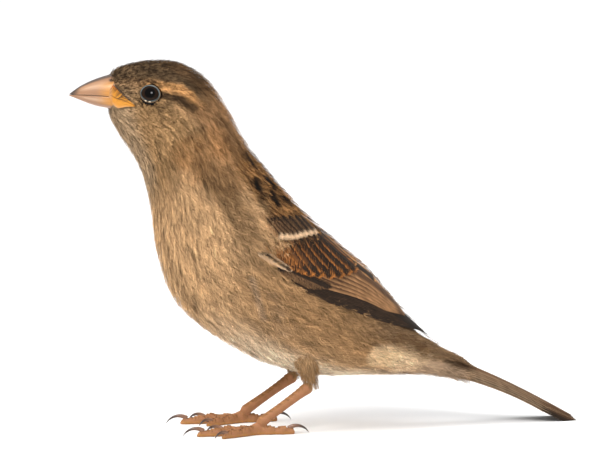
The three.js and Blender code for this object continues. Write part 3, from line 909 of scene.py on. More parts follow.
VANE_DARK = seen(42, 32, 24)
VANE_BROWN = seen(82, 58, 40)
RUFOUS = seen(172, 106, 50)
RUFOUS_DULL = seen(142, 104, 70)
TAWNY = seen(186, 134, 82)
BAR = seen(206, 172, 136)
PALE_EDGE = seen(170, 142, 112)
SQUASH = (48, 82)                  # degrees over which the wing flattens towards the back

COVERT = dict(barbs=26, bends=(0, 0.5, 0.85, 1), slope=1.3, cover=1.0, end=0.45, loose=0.07,
              droop=0.10, lift=0.03, shaft=0.07)
VANED = dict(barbs=54, bends=(0, 0.45, 0.85, 1), slope=1.1, cover=1.15, end=0.9, loose=0.015,
             droop=0.12, lift=0.0, shaft=0.13)


def vane_outline(u):
    return np.clip(u / 0.12, 0, 1) ** 0.6 * np.clip((1.0 - u) / 0.22, 0, 1) ** 0.55


def round_outline(u):
    return np.clip(u / 0.15, 0, 1) ** 0.6 * np.clip((1.0 - u) / 0.35, 0, 1) ** 0.5


def spread(points, count):
    """Places evenly along a smooth line through a few places, angles given in degrees."""
    rows = smooth_rows(np.array(points, float), np.linspace(0, len(points) - 1, count))
    return np.stack([rows[:, 0], np.radians(rows[:, 1])], axis=-1)


def blend(values, count):
    """As many numbers as the group has feathers, spaced evenly through a few given ones."""
    return np.interp(np.linspace(0, 1, count), np.linspace(0, 1, len(values)), values)


def on_wing(station, angle, height):
    """A place on the folded wing, which lies flatter towards the back."""
    flatter = 1 - 0.75 * ramp(fold(angle), *SQUASH)
    return on_body(station, angle, height * flatter)


def wing_lot(count, roots, tips, widths, low, high, build, outline, edge, centre, edge_start,
             edge_soft=0.15, middles=None, skew=0.0, tip_tint=None, tip_from=0.8):
    """A group of feathers side by side, with centres of one colour and edges of another."""
    lot = Feathers(spread(roots, count), spread(tips, count), blend(widths, count),
                   blend(low, count), blend(high, count), outline,
                   middle=None if middles is None else spread(middles, count), skew=skew, **build)
    start = blend(edge_start, count)[:, None]
    reach = np.maximum(np.abs(lot.across), ramp(lot.share, 0.86, 1.02))
    colour = mix(fill(centre, lot.share), edge, ramp(reach, start - edge_soft, start + edge_soft))
    if tip_tint is not None:
        colour = mix(colour, tip_tint, ramp(lot.share, tip_from, tip_from + 0.08))
    colour = np.where(lot.on_shaft[:, None], colour * 0.55, colour)
    return paint(lot, colour, spread=0.06, barb_spread=0.13, shadow=0.25, pale_tip=0.05)


def wing_lots():
    """The feathers of one wing, from below upwards."""
    primaries = wing_lot(
        9, [(9.0, 12.5), (9.4, 19)],
        [(12.9, 68), (13.25, 79), (13.44, 87), (13.3, 84), (12.9, 78), (12.4, 66)],
        [1.5, 1.7, 1.8], (-0.2, 0.75), (0.25, 0.60), VANED, vane_outline, VANE_BROWN,
        VANE_DARK * 0.8, [1.0], 0.05, [(11.15, 26.5), (11.0, 31), (10.9, 35)])
    secondaries = wing_lot(
        6, [(9.3, 17), (9.35, 30), (9.5, 45)], [(12.15, 60), (12.3, 66), (12.1, 70)],
        [1.9, 2.2, 2.3], (0.85, 1.25), (0.65, 1.05), VANED, vane_outline, RUFOUS_DULL,
        VANE_BROWN, [0.66], 0.12, [(10.75, 35), (10.8, 45), (10.8, 55)])
    tertials = wing_lot(
        3, [(9.3, 48), (9.3, 58), (9.3, 66)], [(11.9, 66), (11.2, 66), (10.55, 60)],
        [2.6, 2.5, 2.3], (1.15, 1.40), (0.95, 1.35), VANED, round_outline, TAWNY,
        VANE_DARK, [0.68], 0.14, [(10.6, 58), (10.3, 61), (9.95, 63)])
    primary_coverts = wing_lot(
        5, [(9.0, 11), (9.05, 15)], [(10.15, 18.5), (10.3, 22), (10.4, 26)],
        [1.0, 1.2], (0.9, 1.10), (0.75, 0.95), COVERT, vane_outline, RUFOUS_DULL,
        VANE_DARK, [0.85])
    alula = wing_lot(
        4, [(8.45, 8), (8.6, 12)], [(9.0, 12), (9.4, 16.6)],
        [0.6, 0.75], (1.25, 1.45), (1.05, 1.20), COVERT, vane_outline, BAR,
        VANE_DARK, [0.1, 0.2, 0.6])
    greater = wing_lot(
        10, [(8.3, 20), (8.5, 28), (8.85, 42), (9.2, 58)],
        [(9.15, 15), (9.57, 20.2), (9.92, 25), (10.38, 36.5), (10.62, 53)],
        [1.1, 1.5, 1.9, 2.2, 2.3], (1.15, 1.65), (1.15, 1.60), COVERT, round_outline, RUFOUS,
        VANE_DARK, [0.60, 0.56, 0.62, 0.70], 0.10)
    median = wing_lot(
        8, [(8.1, 30), (8.3, 39), (8.7, 58)], [(8.72, 29.5), (8.95, 37), (9.1, 45), (9.3, 56)],
        [1.3, 1.5], (1.5, 1.9), (1.75, 1.95), COVERT, round_outline, RUFOUS_DULL,
        VANE_DARK, [0.5, 0.7], tip_tint=BAR, tip_from=0.78)
    return [primaries, secondaries, tertials, primary_coverts, alula, greater, median]


vane = tinted_material("flight_feathers", 0.55)
for side, label in SIDES:
    lots = wing_lots()
    if side < 0:
        for lot in lots:
            lot.place[..., 1] = math.pi - lot.place[..., 1]
            lot.root[:, 1] = math.pi - lot.root[:, 1]
            lot.faces = lot.faces[:, ::-1]
    piece, = feather_pieces(f"wing_feathers_{label}", lots, vane, on_wing)
    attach(piece, "root")
    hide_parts(*(f"wing_{label}_{part}" for part in
                         ("shoulder", "coverts", "secondaries", "primaries")))

# --- Tail feathers ------------------------------------------------------------------------------
# Twelve narrow vaned feathers, closed one over another with the middle pair on top, brown with
# thin paler edges; the outer ones are a little longer, which notches the end.

TAIL_ROOT = np.array([46.5, 19.4])    # y, z
TAIL_TIP = np.array([84.4, 0.3])
TAIL_LENGTH = np.linalg.norm(TAIL_TIP - TAIL_ROOT)
TAIL_ARCH = 0.9                    # how far its middle bows up, in mm
TAIL_ROOF = 4.0                    # how far its sides slope down at the root
TAIL_HALF_WIDTHS = np.array([[3.6], [4.4], [5.2], [5.7], [5.4], [4.4]])
TAIL_PAIRS = 6
TAIL_QUILL = -8.0                  # mm along the tail to its feathers' roots, inside the body
TAIL_FEATHER_HALF_WIDTH = 2.3


def on_tail(along, across, height):
    """The point at millimetres along the tail, across it to the left, and above its top."""
    share = along / TAIL_LENGTH
    direction = (TAIL_TIP - TAIL_ROOT) / TAIL_LENGTH
    half = profile(TAIL_HALF_WIDTHS, share)
    rise = TAIL_ARCH * np.sin(math.pi * np.clip(share, 0, 1))
    rise = rise - TAIL_ROOF * (1 - 0.6 * np.clip(share, 0, 1)) * (across / half) ** 2 + height
    y = TAIL_ROOT[0] + direction[0] * along - direction[1] * rise
    z = TAIL_ROOT[1] + direction[1] * along + direction[0] * rise
    return placed(np.stack([across, y, np.maximum(z, 0.05)], axis=-1))


def tail_scale(along, across):
    return np.ones(np.shape(along)), np.ones(np.shape(along))


def tail_chart(along, across):
    return np.stack([0.3 + across * 0.02, 0.92 + 0.0 * along], axis=-1)


tail_lots = []
for side, _ in SIDES:
    order = np.arange(TAIL_PAIRS)
    roots = np.stack([np.full(TAIL_PAIRS, TAIL_QUILL), side * (0.4 + 0.25 * order)], axis=-1)
    tips = np.stack([TAIL_LENGTH + 0.4 + 0.3 * order, side * (0.9 + 0.62 * order)], axis=-1)
    middles = np.stack([np.full(TAIL_PAIRS, 16.0), side * (0.9 + 0.42 * order)], axis=-1)
    lot = Feathers(roots, tips, TAIL_FEATHER_HALF_WIDTH, -0.45 * order / 5 - 0.35,
                   -0.75 * order / 5 - 0.02, vane_outline, middle=middles, scale=tail_scale,
                   skew=-0.25 * side, **VANED)
    # painted shade: the outer pairs, low on the tail's sloping sides, are darkened
    outer = np.array([0.0, 0.0, 0.2, 0.5, 1.0, 1.0])[:, None]
    colour = mix(fill(VANE_BROWN * 1.3, lot.share), VANE_DARK, outer)
    colour = mix(colour, PALE_EDGE * 0.7, 0.8 * ramp(side * lot.across, 0.60, 0.70))
    # painted shade on each inner web, where it lies under the next feather
    colour = mix(colour, VANE_DARK, 0.7 * ramp(-side * lot.across, 0.3, 1.0))
    colour = np.where(lot.on_shaft[:, None], PALE_EDGE * 0.9, colour)
    tail_lots.append(paint(lot, colour, spread=0.05, barb_spread=0.12, shadow=0.1, pale_tip=0.0))
piece, = feather_pieces("tail_feathers", tail_lots, vane, on_tail, tail_chart)
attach(piece, "root")
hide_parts("tail")

# --- Bill ---------------------------------------------------------------------------------------
# A short stout cone of horn in two halves, pinkish tan with a dark ridge and tip, marked with
# fine growth lines. The nostril is a pit at its root, half hidden in feathers.

# in mm: y of the root and the tip, then, from root to tip, z of the ridge, of the line of the
# mouth and of the lower edge, and half the width
BILL_ROOT = -36.4
BILL_TIP = -48.2
CULMEN = np.array([[92.7], [92.2], [91.5], [90.6], [89.4], [87.8]])
COMMISSURE = np.array([[87.0], [87.3], [87.5], [87.6], [87.6], [87.6]])
GONYS = np.array([[83.5], [84.0], [84.5], [85.3], [86.3], [87.3]])
BILL_HALF_WIDTHS = np.array([[4.4], [4.0], [3.4], [2.6], [1.6], [0.2]])
BILL_HIDDEN = [-0.14, -0.07]       # shares of its length that lie under the feathers
BILL_SEAM = 0.07                   # half the gap between its halves, mm
BILL_ROUND = 0.92                  # under 1 its sides swell out, over 1 they sink in
LOWER_BILL = 0.96                  # the lower half's width beside the upper's
NOSTRIL = (-37.9, 91.3)            # y, z

HORN = seen(146, 108, 80)
# pale horn, also the colour of the painted highlight along the bill
HORN_PALE_AND_HIGHLIGHT = seen(190, 156, 128)
HORN_DARK = seen(58, 50, 46)
GAPE_YELLOW = seen(186, 126, 50)
GAPE_ORANGE = seen(206, 104, 34)


def tint_tube(mesh, colours):
    """Tints a closed tube row by row, and its two end points like the rows beside them."""
    colours = colours.reshape(-1, 3)
    add_tint(mesh, np.vstack([colours, colours[0], colours[-1]]))


def horn_colour(share, top, dent, upper):
    """Pinkish horn, yellow at the root and dark along the ridge and at the tip, with a painted
    highlight along each half and painted shade in the nostril.
    """
    # painted highlight: a pale band along the middle of each half, as lit from above
    highlight_band = (top - (0.62 if upper else 0.35)) / 0.16
    colour = mix(fill(HORN, top), HORN_PALE_AND_HIGHLIGHT, 0.7 * np.exp(-highlight_band ** 2)
                 * ramp(share, 0.1, 0.35) * (1 - ramp(share, 0.6, 0.9)))
    colour = mix(colour, GAPE_YELLOW, (1 - ramp(share, 0.1, 0.52)) * (1 - ramp(top, 0.55, 0.85)))
    if upper:
        colour = mix(colour, HORN_DARK, 0.9 * ramp(top, 0.86, 0.97) * ramp(share, 0.0, 0.1))
        colour = mix(colour, HORN_DARK, 0.9 * ramp(share + 0.08 * top, 0.80, 0.97))
        # painted shade in the nostril's pit
        colour = mix(colour, HORN_DARK * 0.5, np.clip(dent * 1.3, 0, 1))
    else:
        colour = mix(colour, GAPE_ORANGE * 0.7, 0.35 * ramp(top, 0.85, 1.0))
    growth = 1 + 0.05 * np.sin(top * 34 + np.sin(share * 9) * 2)
    return np.clip(colour * growth[..., None], 0, 1)


def mandible(name, upper):
    """One half of the bill: its arched outside, then its nearly flat inner face."""
    share = np.concatenate([BILL_HIDDEN, np.linspace(0, 1, 60) ** 0.9])[:, None]
    turn = np.linspace(0, math.pi, 41)[None, :]
    inner = np.linspace(-0.94, 0.94, 9)[None, :]
    edge = profile(COMMISSURE, share) + (BILL_SEAM if upper else -BILL_SEAM)
    edge = edge - 0.5 * ramp(-share, -0.12, 0.10)
    ridge = profile(CULMEN if upper else GONYS, share)
    half = profile(BILL_HALF_WIDTHS, share) * (1.0 if upper else LOWER_BILL)
    side_x = half * np.sign(np.cos(turn)) * np.abs(np.cos(turn)) ** BILL_ROUND
    side_z = edge + (ridge - edge) * np.sin(turn) ** (BILL_ROUND if upper else 0.8)
    x = np.concatenate([side_x, half * inner], axis=1)
    y = np.broadcast_to(BILL_ROOT + (BILL_TIP - BILL_ROOT) * share, x.shape)
    z = np.concatenate([side_z, np.broadcast_to(edge, (half * inner).shape)], axis=1)
    dent = np.exp(-(((y - NOSTRIL[0]) / 0.42) ** 2 + ((z - NOSTRIL[1]) / 0.30) ** 2)) * upper
    x = x * (1 - 0.12 * dent)
    mesh = closed_tube(name, placed(np.stack([x, y, z], axis=-1)))
    top = np.clip((z - edge) / (ridge - edge + 1e-9), 0, 1)
    tint_tube(mesh, horn_colour(np.broadcast_to(share, x.shape), top, dent, upper))
    smooth_shade(mesh)
    return mesh


GRAIN_DEPTH = 0.0001


def add_grain(material, fineness, strength, detail=2.0):
    """Raises a fine grain on a surface; fineness is in grains per metre along x, y and z."""
    tree = material.node_tree
    place, stretch, grain, bump = (tree.nodes.new(kind) for kind in (
        "ShaderNodeTexCoord", "ShaderNodeMapping", "ShaderNodeTexNoise", "ShaderNodeBump"))
    stretch.inputs["Scale"].default_value = fineness
    grain.inputs["Scale"].default_value = 1.0
    grain.inputs["Detail"].default_value = detail
    bump.inputs["Strength"].default_value = strength
    bump.inputs["Distance"].default_value = GRAIN_DEPTH
    tree.links.new(place.outputs["Object"], stretch.inputs["Vector"])
    tree.links.new(stretch.outputs["Vector"], grain.inputs["Vector"])
    tree.links.new(grain.outputs["Fac"], bump.inputs["Height"])
    tree.links.new(bump.outputs["Normal"], tree.nodes["Principled BSDF"].inputs["Normal"])


horn = tinted_material("bill_horn", 0.36, specular=0.45)
add_grain(horn, (2500, 300, 2500), 0.25, detail=3.0)

for name, upper in (("upper", True), ("lower", False)):
    piece = link_mesh(f"bill_{name}_horn", mandible(f"bill_{name}_horn", upper), horn)
    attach(piece, "root")
    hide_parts(f"bill_{name}")

# --- Gape ---------------------------------------------------------------------------------------
# The bare yellow corner of the mouth, a soft flange on each side that runs back from the bill to
# a point under the eye, crossed by the line of the mouth and by a few dark bristles.

# (station, degrees) along its upper edge, its lower edge and the line of the mouth
GAPE_BROW = np.array([(-0.4, 2), (0.0, 40), (0.6, 24), (1.05, 13), (1.6, 4), (GAPE_BACK, -2.2)])
GAPE_FOOT = np.array([(-0.4, -8), (0.16, -32), (0.96, -25), (1.54, -12), (GAPE_BACK, -3.0)])
GAPE_LINE = np.array([(-0.4, -6), (0.0, -6), (0.6, -4), (1.2, -1), (1.6, -1), (GAPE_BACK, -2.5)])


def bill_side(y, z):
    """Half the bill's width at a height, in mm."""
    share = (BILL_ROOT - y) / (BILL_ROOT - BILL_TIP)
    edge = profile(COMMISSURE, share)
    ridge = np.where(z > edge, profile(CULMEN, share), profile(GONYS, share))
    rise = np.clip((z - edge) / (ridge - edge), 0, 0.999)
    return profile(BILL_HALF_WIDTHS, share) * np.sqrt(1 - rise ** (2 / BILL_ROUND)) ** BILL_ROUND


def sheet(name, points, colours, closed, flipped):
    """A smooth tinted surface from rows of points, closed round its rows or open."""
    rows, columns = points.shape[:2]
    faces = grid_faces(rows, columns, columns if closed else columns - 1)
    if flipped:
        faces = [face[::-1] for face in faces]
    mesh = bpy.data.meshes.new(name)
    mesh.from_pydata(points.reshape(-1, 3).tolist(), [], faces)
    add_tint(mesh, colours.reshape(-1, 3))
    smooth_shade(mesh)
    return mesh


def gape_mesh(name, side):
    station = np.linspace(-0.4, GAPE_BACK, 50)[:, None]
    share = np.linspace(-1, 1, 33)[None, :]
    top, line, bottom = (np.interp(station, *rows.T) for rows in (GAPE_BROW, GAPE_LINE, GAPE_FOOT))
    angle = np.where(share > 0, line + (top - line) * share, line + (line - bottom) * share)
    lips = 0.22 * np.exp(-((np.abs(share) - 0.30) / 0.25) ** 2) - 0.16 * np.exp(-(share / 0.10) ** 2)
    height = -0.22 + lips - 0.5 * ramp(np.abs(share), 0.85, 1.0)
    height = height - 0.4 * ramp(station, GAPE_BACK - 0.15, GAPE_BACK)
    points = on_body(station, np.radians(angle), height)
    beside = (bill_side((points[..., 1] - FEET.y) / MM, points[..., 2] / MM) + 0.06) * MM
    front = 1 - ramp(station, 0.0, 0.9)
    points[..., 0] = side * (points[..., 0] + (beside - points[..., 0]) * front)
    points[..., 0] -= side * 0.2 * MM * (1 - ramp(station, -0.4, -0.2))
    orange = ramp(share, 0.45, 0.95) * (1 - ramp(station, 0.2, 1.2)) * ramp(station, -0.3, 0.1)
    colour = mix(fill(GAPE_YELLOW, angle), GAPE_ORANGE, 0.7 * orange)
    colour = mix(colour, HORN_PALE_AND_HIGHLIGHT, 0.35 * ramp(-share, 0.5, 1.0) * np.ones_like(station))
    colour = mix(colour, EDGE_DARK, 0.85 * np.exp(-(share / 0.045) ** 2) * np.ones_like(station))
    at_bill = (1 - ramp(station, -0.5, 0.35)) * np.ones_like(share)
    colour = mix(colour, (HORN + HORN_PALE_AND_HIGHLIGHT) / 2, 0.75 * at_bill)
    return sheet(name, points, colour, False, side < 0)


def circle(count):
    return np.linspace(0, 2 * math.pi, count, endpoint=False)


def bristle_points(side, root, tip):
    """A tapered hair from one place on the head to another, standing a little off the skin."""
    share = np.linspace(0, 1, 9)
    place = np.array(root) + (np.array(tip) - np.array(root)) * share[:, None]
    line = on_body(place[:, 0], np.radians(place[:, 1]), -0.2 + 0.55 * np.sin(share * 2.2))
    turn = circle(5)[:, None]
    along = line[-1] - line[0]
    level = np.cross(along, (1.0, 0.0, 0.0))
    ring = np.cos(turn) * np.array([1.0, 0.0, 0.0]) + np.sin(turn) * level / np.linalg.norm(level)
    radius = (0.085 * (1 - share) + 0.012) * MM
    points = line[:, None, :] + radius[:, None, None] * ring[None]
    points[..., 0] *= side
    return points


def joined(name, meshes):
    """One mesh of several, which are used up."""
    work = bmesh.new()
    for mesh in meshes:
        work.from_mesh(mesh)
        bpy.data.meshes.remove(mesh)
    mesh = bpy.data.meshes.new(name)
    work.to_mesh(mesh)
    work.free()
    return mesh


gape_skin = tinted_material("gape_skin", 0.45)
bristle_horn = plain_material("bristles", tuple(EDGE_DARK * 0.4), 0.5)
for side, label in SIDES:
    piece = link_mesh(f"gape_{label}", gape_mesh(f"gape_{label}", side), gape_skin)
    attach(piece, "root")
    hairs = []
    for share in np.linspace(0, 1, 13):
        station = 0.35 + 1.45 * share
        root = (station, np.interp(station, *GAPE_TOP.T) + 4)
        tip = (station - random.uniform(0.5, 0.9), root[1] - random.uniform(20, 34) + 12 * share)
        hairs.append(closed_tube("bristle", bristle_points(side, root, tip)))
    piece = link_mesh(f"bristles_{label}", joined(f"bristles_{label}", hairs), bristle_horn)
    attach(piece, "root")

# --- Eyes ---------------------------------------------------------------------------------------
# Round wet balls, a black pupil in a very dark iris under a clear skin, set deep between lids of
# bare skin with a thin beaded blue-grey rim.

EYE_RADIUS = 3.2
EYE_CENTRE = np.array([7.4, -28.5, 87.6])
EYE_OPENING = (2.22, 1.86)          # half its length along the head, and half its height
LID_WIDTH = 0.22                    # radians from the opening to the feathers
PUPIL = seen(5, 4, 4)
IRIS = seen(30, 18, 10)
LID_RIM = seen(82, 92, 94)
LID_EDGE = seen(24, 18, 14)


def eye_axes(side):
    """Outwards, backwards along the head, and upwards, for one eye."""
    station, angle = EYE_PLACE
    step = 0.03
    back = on_body(station + step, angle) - on_body(station - step, angle)
    up = on_body(station, angle + step) - on_body(station, angle - step)
    out = np.cross(back, up)
    axes = [a / np.linalg.norm(a) for a in (out, back, np.cross(out, back))]
    if axes[0][0] < 0:
        axes[0] = -axes[0]
    if axes[2][2] < 0:
        axes[2] = -axes[2]
    return [a * (side, 1, 1) for a in axes]


def on_eye(side, polar, turn, radius):
    """The point at an angle from the eye's outward axis, and at a turn round it."""
    out, back, up = eye_axes(side)
    centre = placed(EYE_CENTRE * (side, 1, 1))
    ring = back * np.cos(turn)[..., None] + up * np.sin(turn)[..., None]
    direction = out * np.cos(polar)[..., None] + ring * np.sin(polar)[..., None]
    return centre + direction * (np.broadcast_to(radius, np.shape(polar)) * MM)[..., None]


def eyeball(name, side):
    """The ball with its pupil and iris."""
    polar, turn = np.meshgrid(np.radians(np.linspace(0.4, 179.6, 64)), circle(64), indexing="ij")
    degrees = np.degrees(polar)
    colour = mix(fill(PUPIL, polar), IRIS, ramp(degrees, 24, 27) * (1 - ramp(degrees, 40, 47)))
    return sheet(name, on_eye(side, polar, turn, EYE_RADIUS), colour, True, side > 0)


def lid_ring(name, side):
    """Both lids, from the wet edge of the opening out under the feathers."""
    step, turn = np.meshgrid(np.linspace(0, 1, 14), circle(120), indexing="ij")
    opening = 1 / np.hypot(np.cos(turn) / EYE_OPENING[0], np.sin(turn) / EYE_OPENING[1])
    polar = np.arcsin(opening / EYE_RADIUS) + step * LID_WIDTH
    beads = 0.05 * np.maximum(np.sin(turn * 26), 0) * np.exp(-((step - 0.30) / 0.16) ** 2)
    fold_over = np.sin(np.clip(step * 1.25, 0, 1) * math.pi * 0.5) * (1 - ramp(step, 0.55, 1.0))
    points = on_eye(side, polar, turn, EYE_RADIUS + 0.02 + 0.17 * fold_over + beads)
    # painted light: the rim is brighter at the top, where light falls from above, and uneven round it
    shade = 0.75 + 0.35 * np.sin(turn) + 0.2 * np.sin(turn * 5)
    # outside the rim, the lores' colour darkened as painted shade under the feathers, as on the skin
    colour = mix(LID_RIM * shade[..., None], LORES * 0.6, ramp(step, 0.3, 0.5))
    colour = mix(colour, LID_EDGE, 1 - ramp(step, 0.0, 0.14))
    bead = ramp(-np.sin(turn), 0.8, 0.95) * ramp(np.sin(turn * 13), -0.3, 0.5)
    colour = mix(colour, BELLY, 0.9 * bead * np.exp(-((step - 0.5) / 0.16) ** 2))
    return sheet(name, points, colour, True, side > 0)


eye_wet = tinted_material("eye_wet", 0.03, specular=0.09)
lid_skin = tinted_material("lid_skin", 0.5)
for side, label in SIDES:
    ball = link_mesh(f"eyeball_{label}", eyeball(f"eyeball_{label}", side), eye_wet)
    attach(ball, "root")
    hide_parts(f"eye_{label}")
    lids = link_mesh(f"lids_{label}", lid_ring(f"lids_{label}", side), lid_skin)
    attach(lids, "root")

# --- Legs ---------------------------------------------------------------------------------------
# Bare below the ankle: a slim shank and four toes in a dry orange-brown skin, with a row of
# overlapping horny scutes down the front of the shank and over the top of every toe.

FOOT = np.array([10.2, -1.6, 2.4])
SHANK_RADII = np.array([[1.75], [1.33], [1.2], [1.18], [1.28], [1.4]])   # ankle to foot
Toe = namedtuple("Toe", "name heading length half_width claw scutes")
# a heading is in degrees from straight ahead outwards; a claw is as long as its curve
TOES = [Toe("middle", 2, 15.8, 0.95, 6.3, 15), Toe("hind", 176, 9.8, 1.0, 6.2, 9),
        Toe("inner", -25, 11.0, 0.85, 4.8, 11), Toe("outer", 28, 11.6, 0.85, 4.8, 11)]
TOE_HEIGHT = 2.1
TOE_FLAT = 0.66                    # share of its half height that a toe's middle is above the floor
SHANK_SCUTES = np.linspace(0.12, 0.88, 12)    # shares of the way from ankle to foot
SCUTE_CURL = 2.9                   # radians round the toe that a scute covers
SCUTE_LIFT = 0.06                  # how far its free edge stands off, as a share of its height

LEG_SKIN = seen(156, 112, 72)
LEG_PINK = seen(146, 98, 74)
SCUTE = seen(120, 80, 54)
SOLE = seen(180, 132, 66)


def limb_frame(side, start, end):
    """The near end, direction, outward and forward axes of a limb, in mm."""
    mirror = np.array([side, 1, 1])
    axis = (end - start) * mirror / np.linalg.norm(end - start)
    out = np.array([float(side), 0.0, 0.0])
    ahead = np.cross(axis, out) * side
    return start * mirror, axis, out, ahead / np.linalg.norm(ahead)


def shank_point(side, share, turn):
    """Turn 0 is the outside of the shank and 90 degrees its front."""
    start, axis, out, ahead = limb_frame(side, ANKLE, FOOT)
    ends = np.sqrt(np.clip(np.minimum(share, 1 - share) / 0.07, 0.02, 1))
    radius = profile(SHANK_RADII, share) * ends
    length = np.linalg.norm(FOOT - ANKLE)
    wide = radius * (0.84 + 0.12 * np.abs(share - 0.5))
    return (start + axis * (share * length)[..., None] + out * (wide * np.cos(turn))[..., None]
            + ahead * (radius * np.sin(turn))[..., None])


def toe_swell(share):
    """How much the pads widen a toe, and how its end rounds it off."""
    pads = 1 + 0.13 * np.cos(6 * math.pi * share)
    return pads, np.sqrt(1 - np.clip((share - 0.78) / 0.22, 0, 0.995) ** 2)


def toe_half_height(share):
    """Half a toe's thickness in mm, most at its root and over the pads."""
    pad, end = toe_swell(share)
    ball = 1 + 0.32 * (1 - ramp(share, 0.0, 0.38))
    return TOE_HEIGHT / (1 + TOE_FLAT) * pad * ball * (1 - 0.10 * share) * (0.2 + 0.8 * end)


def toe_axes(side, toe):
    """The way a toe points, and across it, both level."""
    heading = math.radians(toe.heading)
    forward = np.array([side * math.sin(heading), -math.cos(heading), 0.0])
    return forward, np.array([forward[1], -forward[0], 0.0])


def toe_point(side, toe, share, turn):
    """Turn 0 is one side of the toe and 90 degrees its top."""
    forward, sideways = toe_axes(side, toe)
    pad, end = toe_swell(share)
    half_width = toe.half_width * pad * (1 - 0.12 * share) * end
    half_height = toe_half_height(share)
    root = np.array([side * FOOT[0], FOOT[1], 0.0])
    point = (root + forward * (toe.length * share)[..., None]
             + sideways * (half_width * np.cos(turn))[..., None])
    point[..., 2] = np.maximum(half_height * (TOE_FLAT + np.sin(turn)), 0.02)
    return point


def scute_tree(material):
    """Lays a curled plate on every point, turned and sized by the point's own attributes."""
    tree = bpy.data.node_groups.new("scutes", "GeometryNodeTree")
    for label, kind in (("Points", "NodeSocketGeometry"), ("Curl", "NodeSocketFloat"),
                        ("Free Edge Lift", "NodeSocketFloat")):
        tree.interface.new_socket(label, in_out="INPUT", socket_type=kind)
    tree.interface.new_socket("Scutes", in_out="OUTPUT", socket_type="NodeSocketGeometry")
    node = tree.nodes.new
    link = tree.links.new
    given = node("NodeGroupInput")
    plate = node("GeometryNodeMeshGrid")
    plate.inputs["Vertices X"].default_value = 9
    plate.inputs["Vertices Y"].default_value = 4
    split = node("ShaderNodeSeparateXYZ")
    link(node("GeometryNodeInputPosition").outputs[0], split.inputs[0])

    def math_node(operation, a, b=None):
        piece = node("ShaderNodeMath")
        piece.operation = operation
        for socket, value in zip(piece.inputs, (a, b)):
            if isinstance(value, (int, float)):
                socket.default_value = value
            elif value is not None:
                link(value, socket)
        return piece.outputs[0]

    turn = math_node("MULTIPLY", split.outputs["X"], given.outputs["Curl"])
    free = math_node("ADD", split.outputs["Y"], 0.5)
    reach = math_node("ADD", math_node("MULTIPLY", free, given.outputs["Free Edge Lift"]), 1.0)
    place = node("ShaderNodeCombineXYZ")
    link(math_node("SINE", turn), place.inputs["X"])
    link(split.outputs["Y"], place.inputs["Y"])
    link(math_node("MULTIPLY", math_node("COSINE", turn), reach), place.inputs["Z"])
    bent = node("GeometryNodeSetPosition")
    link(plate.outputs["Mesh"], bent.inputs["Geometry"])
    link(place.outputs[0], bent.inputs["Position"])
    turned, sized = node("GeometryNodeInputNamedAttribute"), node("GeometryNodeInputNamedAttribute")
    for attribute, name in ((turned, "turn"), (sized, "size")):
        attribute.data_type = "FLOAT_VECTOR"
        attribute.inputs["Name"].default_value = name
    rotation = node("FunctionNodeEulerToRotation")
    link(turned.outputs["Attribute"], rotation.inputs["Euler"])
    laid = node("GeometryNodeInstanceOnPoints")
    link(given.outputs["Points"], laid.inputs["Points"])
    link(bent.outputs["Geometry"], laid.inputs["Instance"])
    link(rotation.outputs["Rotation"], laid.inputs["Rotation"])
    link(sized.outputs["Attribute"], laid.inputs["Scale"])
    real = node("GeometryNodeRealizeInstances")
    link(laid.outputs["Instances"], real.inputs["Geometry"])
    smooth = node("GeometryNodeSetShadeSmooth")
    link(real.outputs["Geometry"], smooth.inputs["Geometry"])
    finish = node("GeometryNodeSetMaterial")
    finish.inputs["Material"].default_value = material
    link(smooth.outputs["Geometry"], finish.inputs["Geometry"])
    link(finish.outputs["Geometry"], node("NodeGroupOutput").inputs["Scutes"])
    return tree


def scute_rows(side):
    """Centre, turn and size of every scute of one foot."""
    rows = []
    shank_length = np.linalg.norm(FOOT - ANKLE)
    start, axis, _, ahead = limb_frame(side, ANKLE, FOOT)
    for share in SHANK_SCUTES:
        radius = float(profile(SHANK_RADII, share))
        rows.append((start + axis * share * shank_length, np.cross(axis, ahead), axis, ahead,
                     (radius * 0.83, shank_length * 0.085, radius * 1.03)))
    for toe in TOES:
        forward = toe_axes(side, toe)[0]
        up = np.array([0.0, 0.0, 1.0])
        for share in np.linspace(0.12, 0.90, toe.scutes):
            pad, end = toe_swell(share)
            height = toe_half_height(share)
            centre = np.array([side * FOOT[0], FOOT[1], height * TOE_FLAT])
            size = (toe.half_width * pad * end * (0.92 - 0.12 * share),
                    toe.length * 0.96 / toe.scutes, height)
            rows.append((centre + forward * toe.length * share, np.cross(forward, up), forward, up,
                         size))
    return rows


def set_tint_by_height(mesh, low_colour, high_colour, spots):
    """Tints from the sole upwards, and mottles the tint with spots."""
    x, y, z = vertex_points(mesh).T / MM
    colour = mix(fill(low_colour, z), high_colour, ramp(z, 0.2, 1.3))
    mottle = np.sin(x * 5 + y * 7) * np.sin(y * 9 - z * 6) * np.sin(z * 8 + x * 3)
    colour = mix(colour, spots, 0.5 + 0.5 * mottle) * (1 + 0.25 * mottle[:, None])
    add_tint(mesh, np.clip(colour, 0, 1))


leg_skin = tinted_material("leg_skin", 0.5)
scute_horn = tinted_material("leg_scutes", 0.42)
add_grain(leg_skin, (3500, 3500, 3500), 0.5)
add_grain(scute_horn, (2500, 2500, 2500), 0.3)
scutes = scute_tree(scute_horn)
SCUTE_INPUTS = {item.name: item.identifier for item in scutes.interface.items_tree
                if item.in_out == "INPUT"}

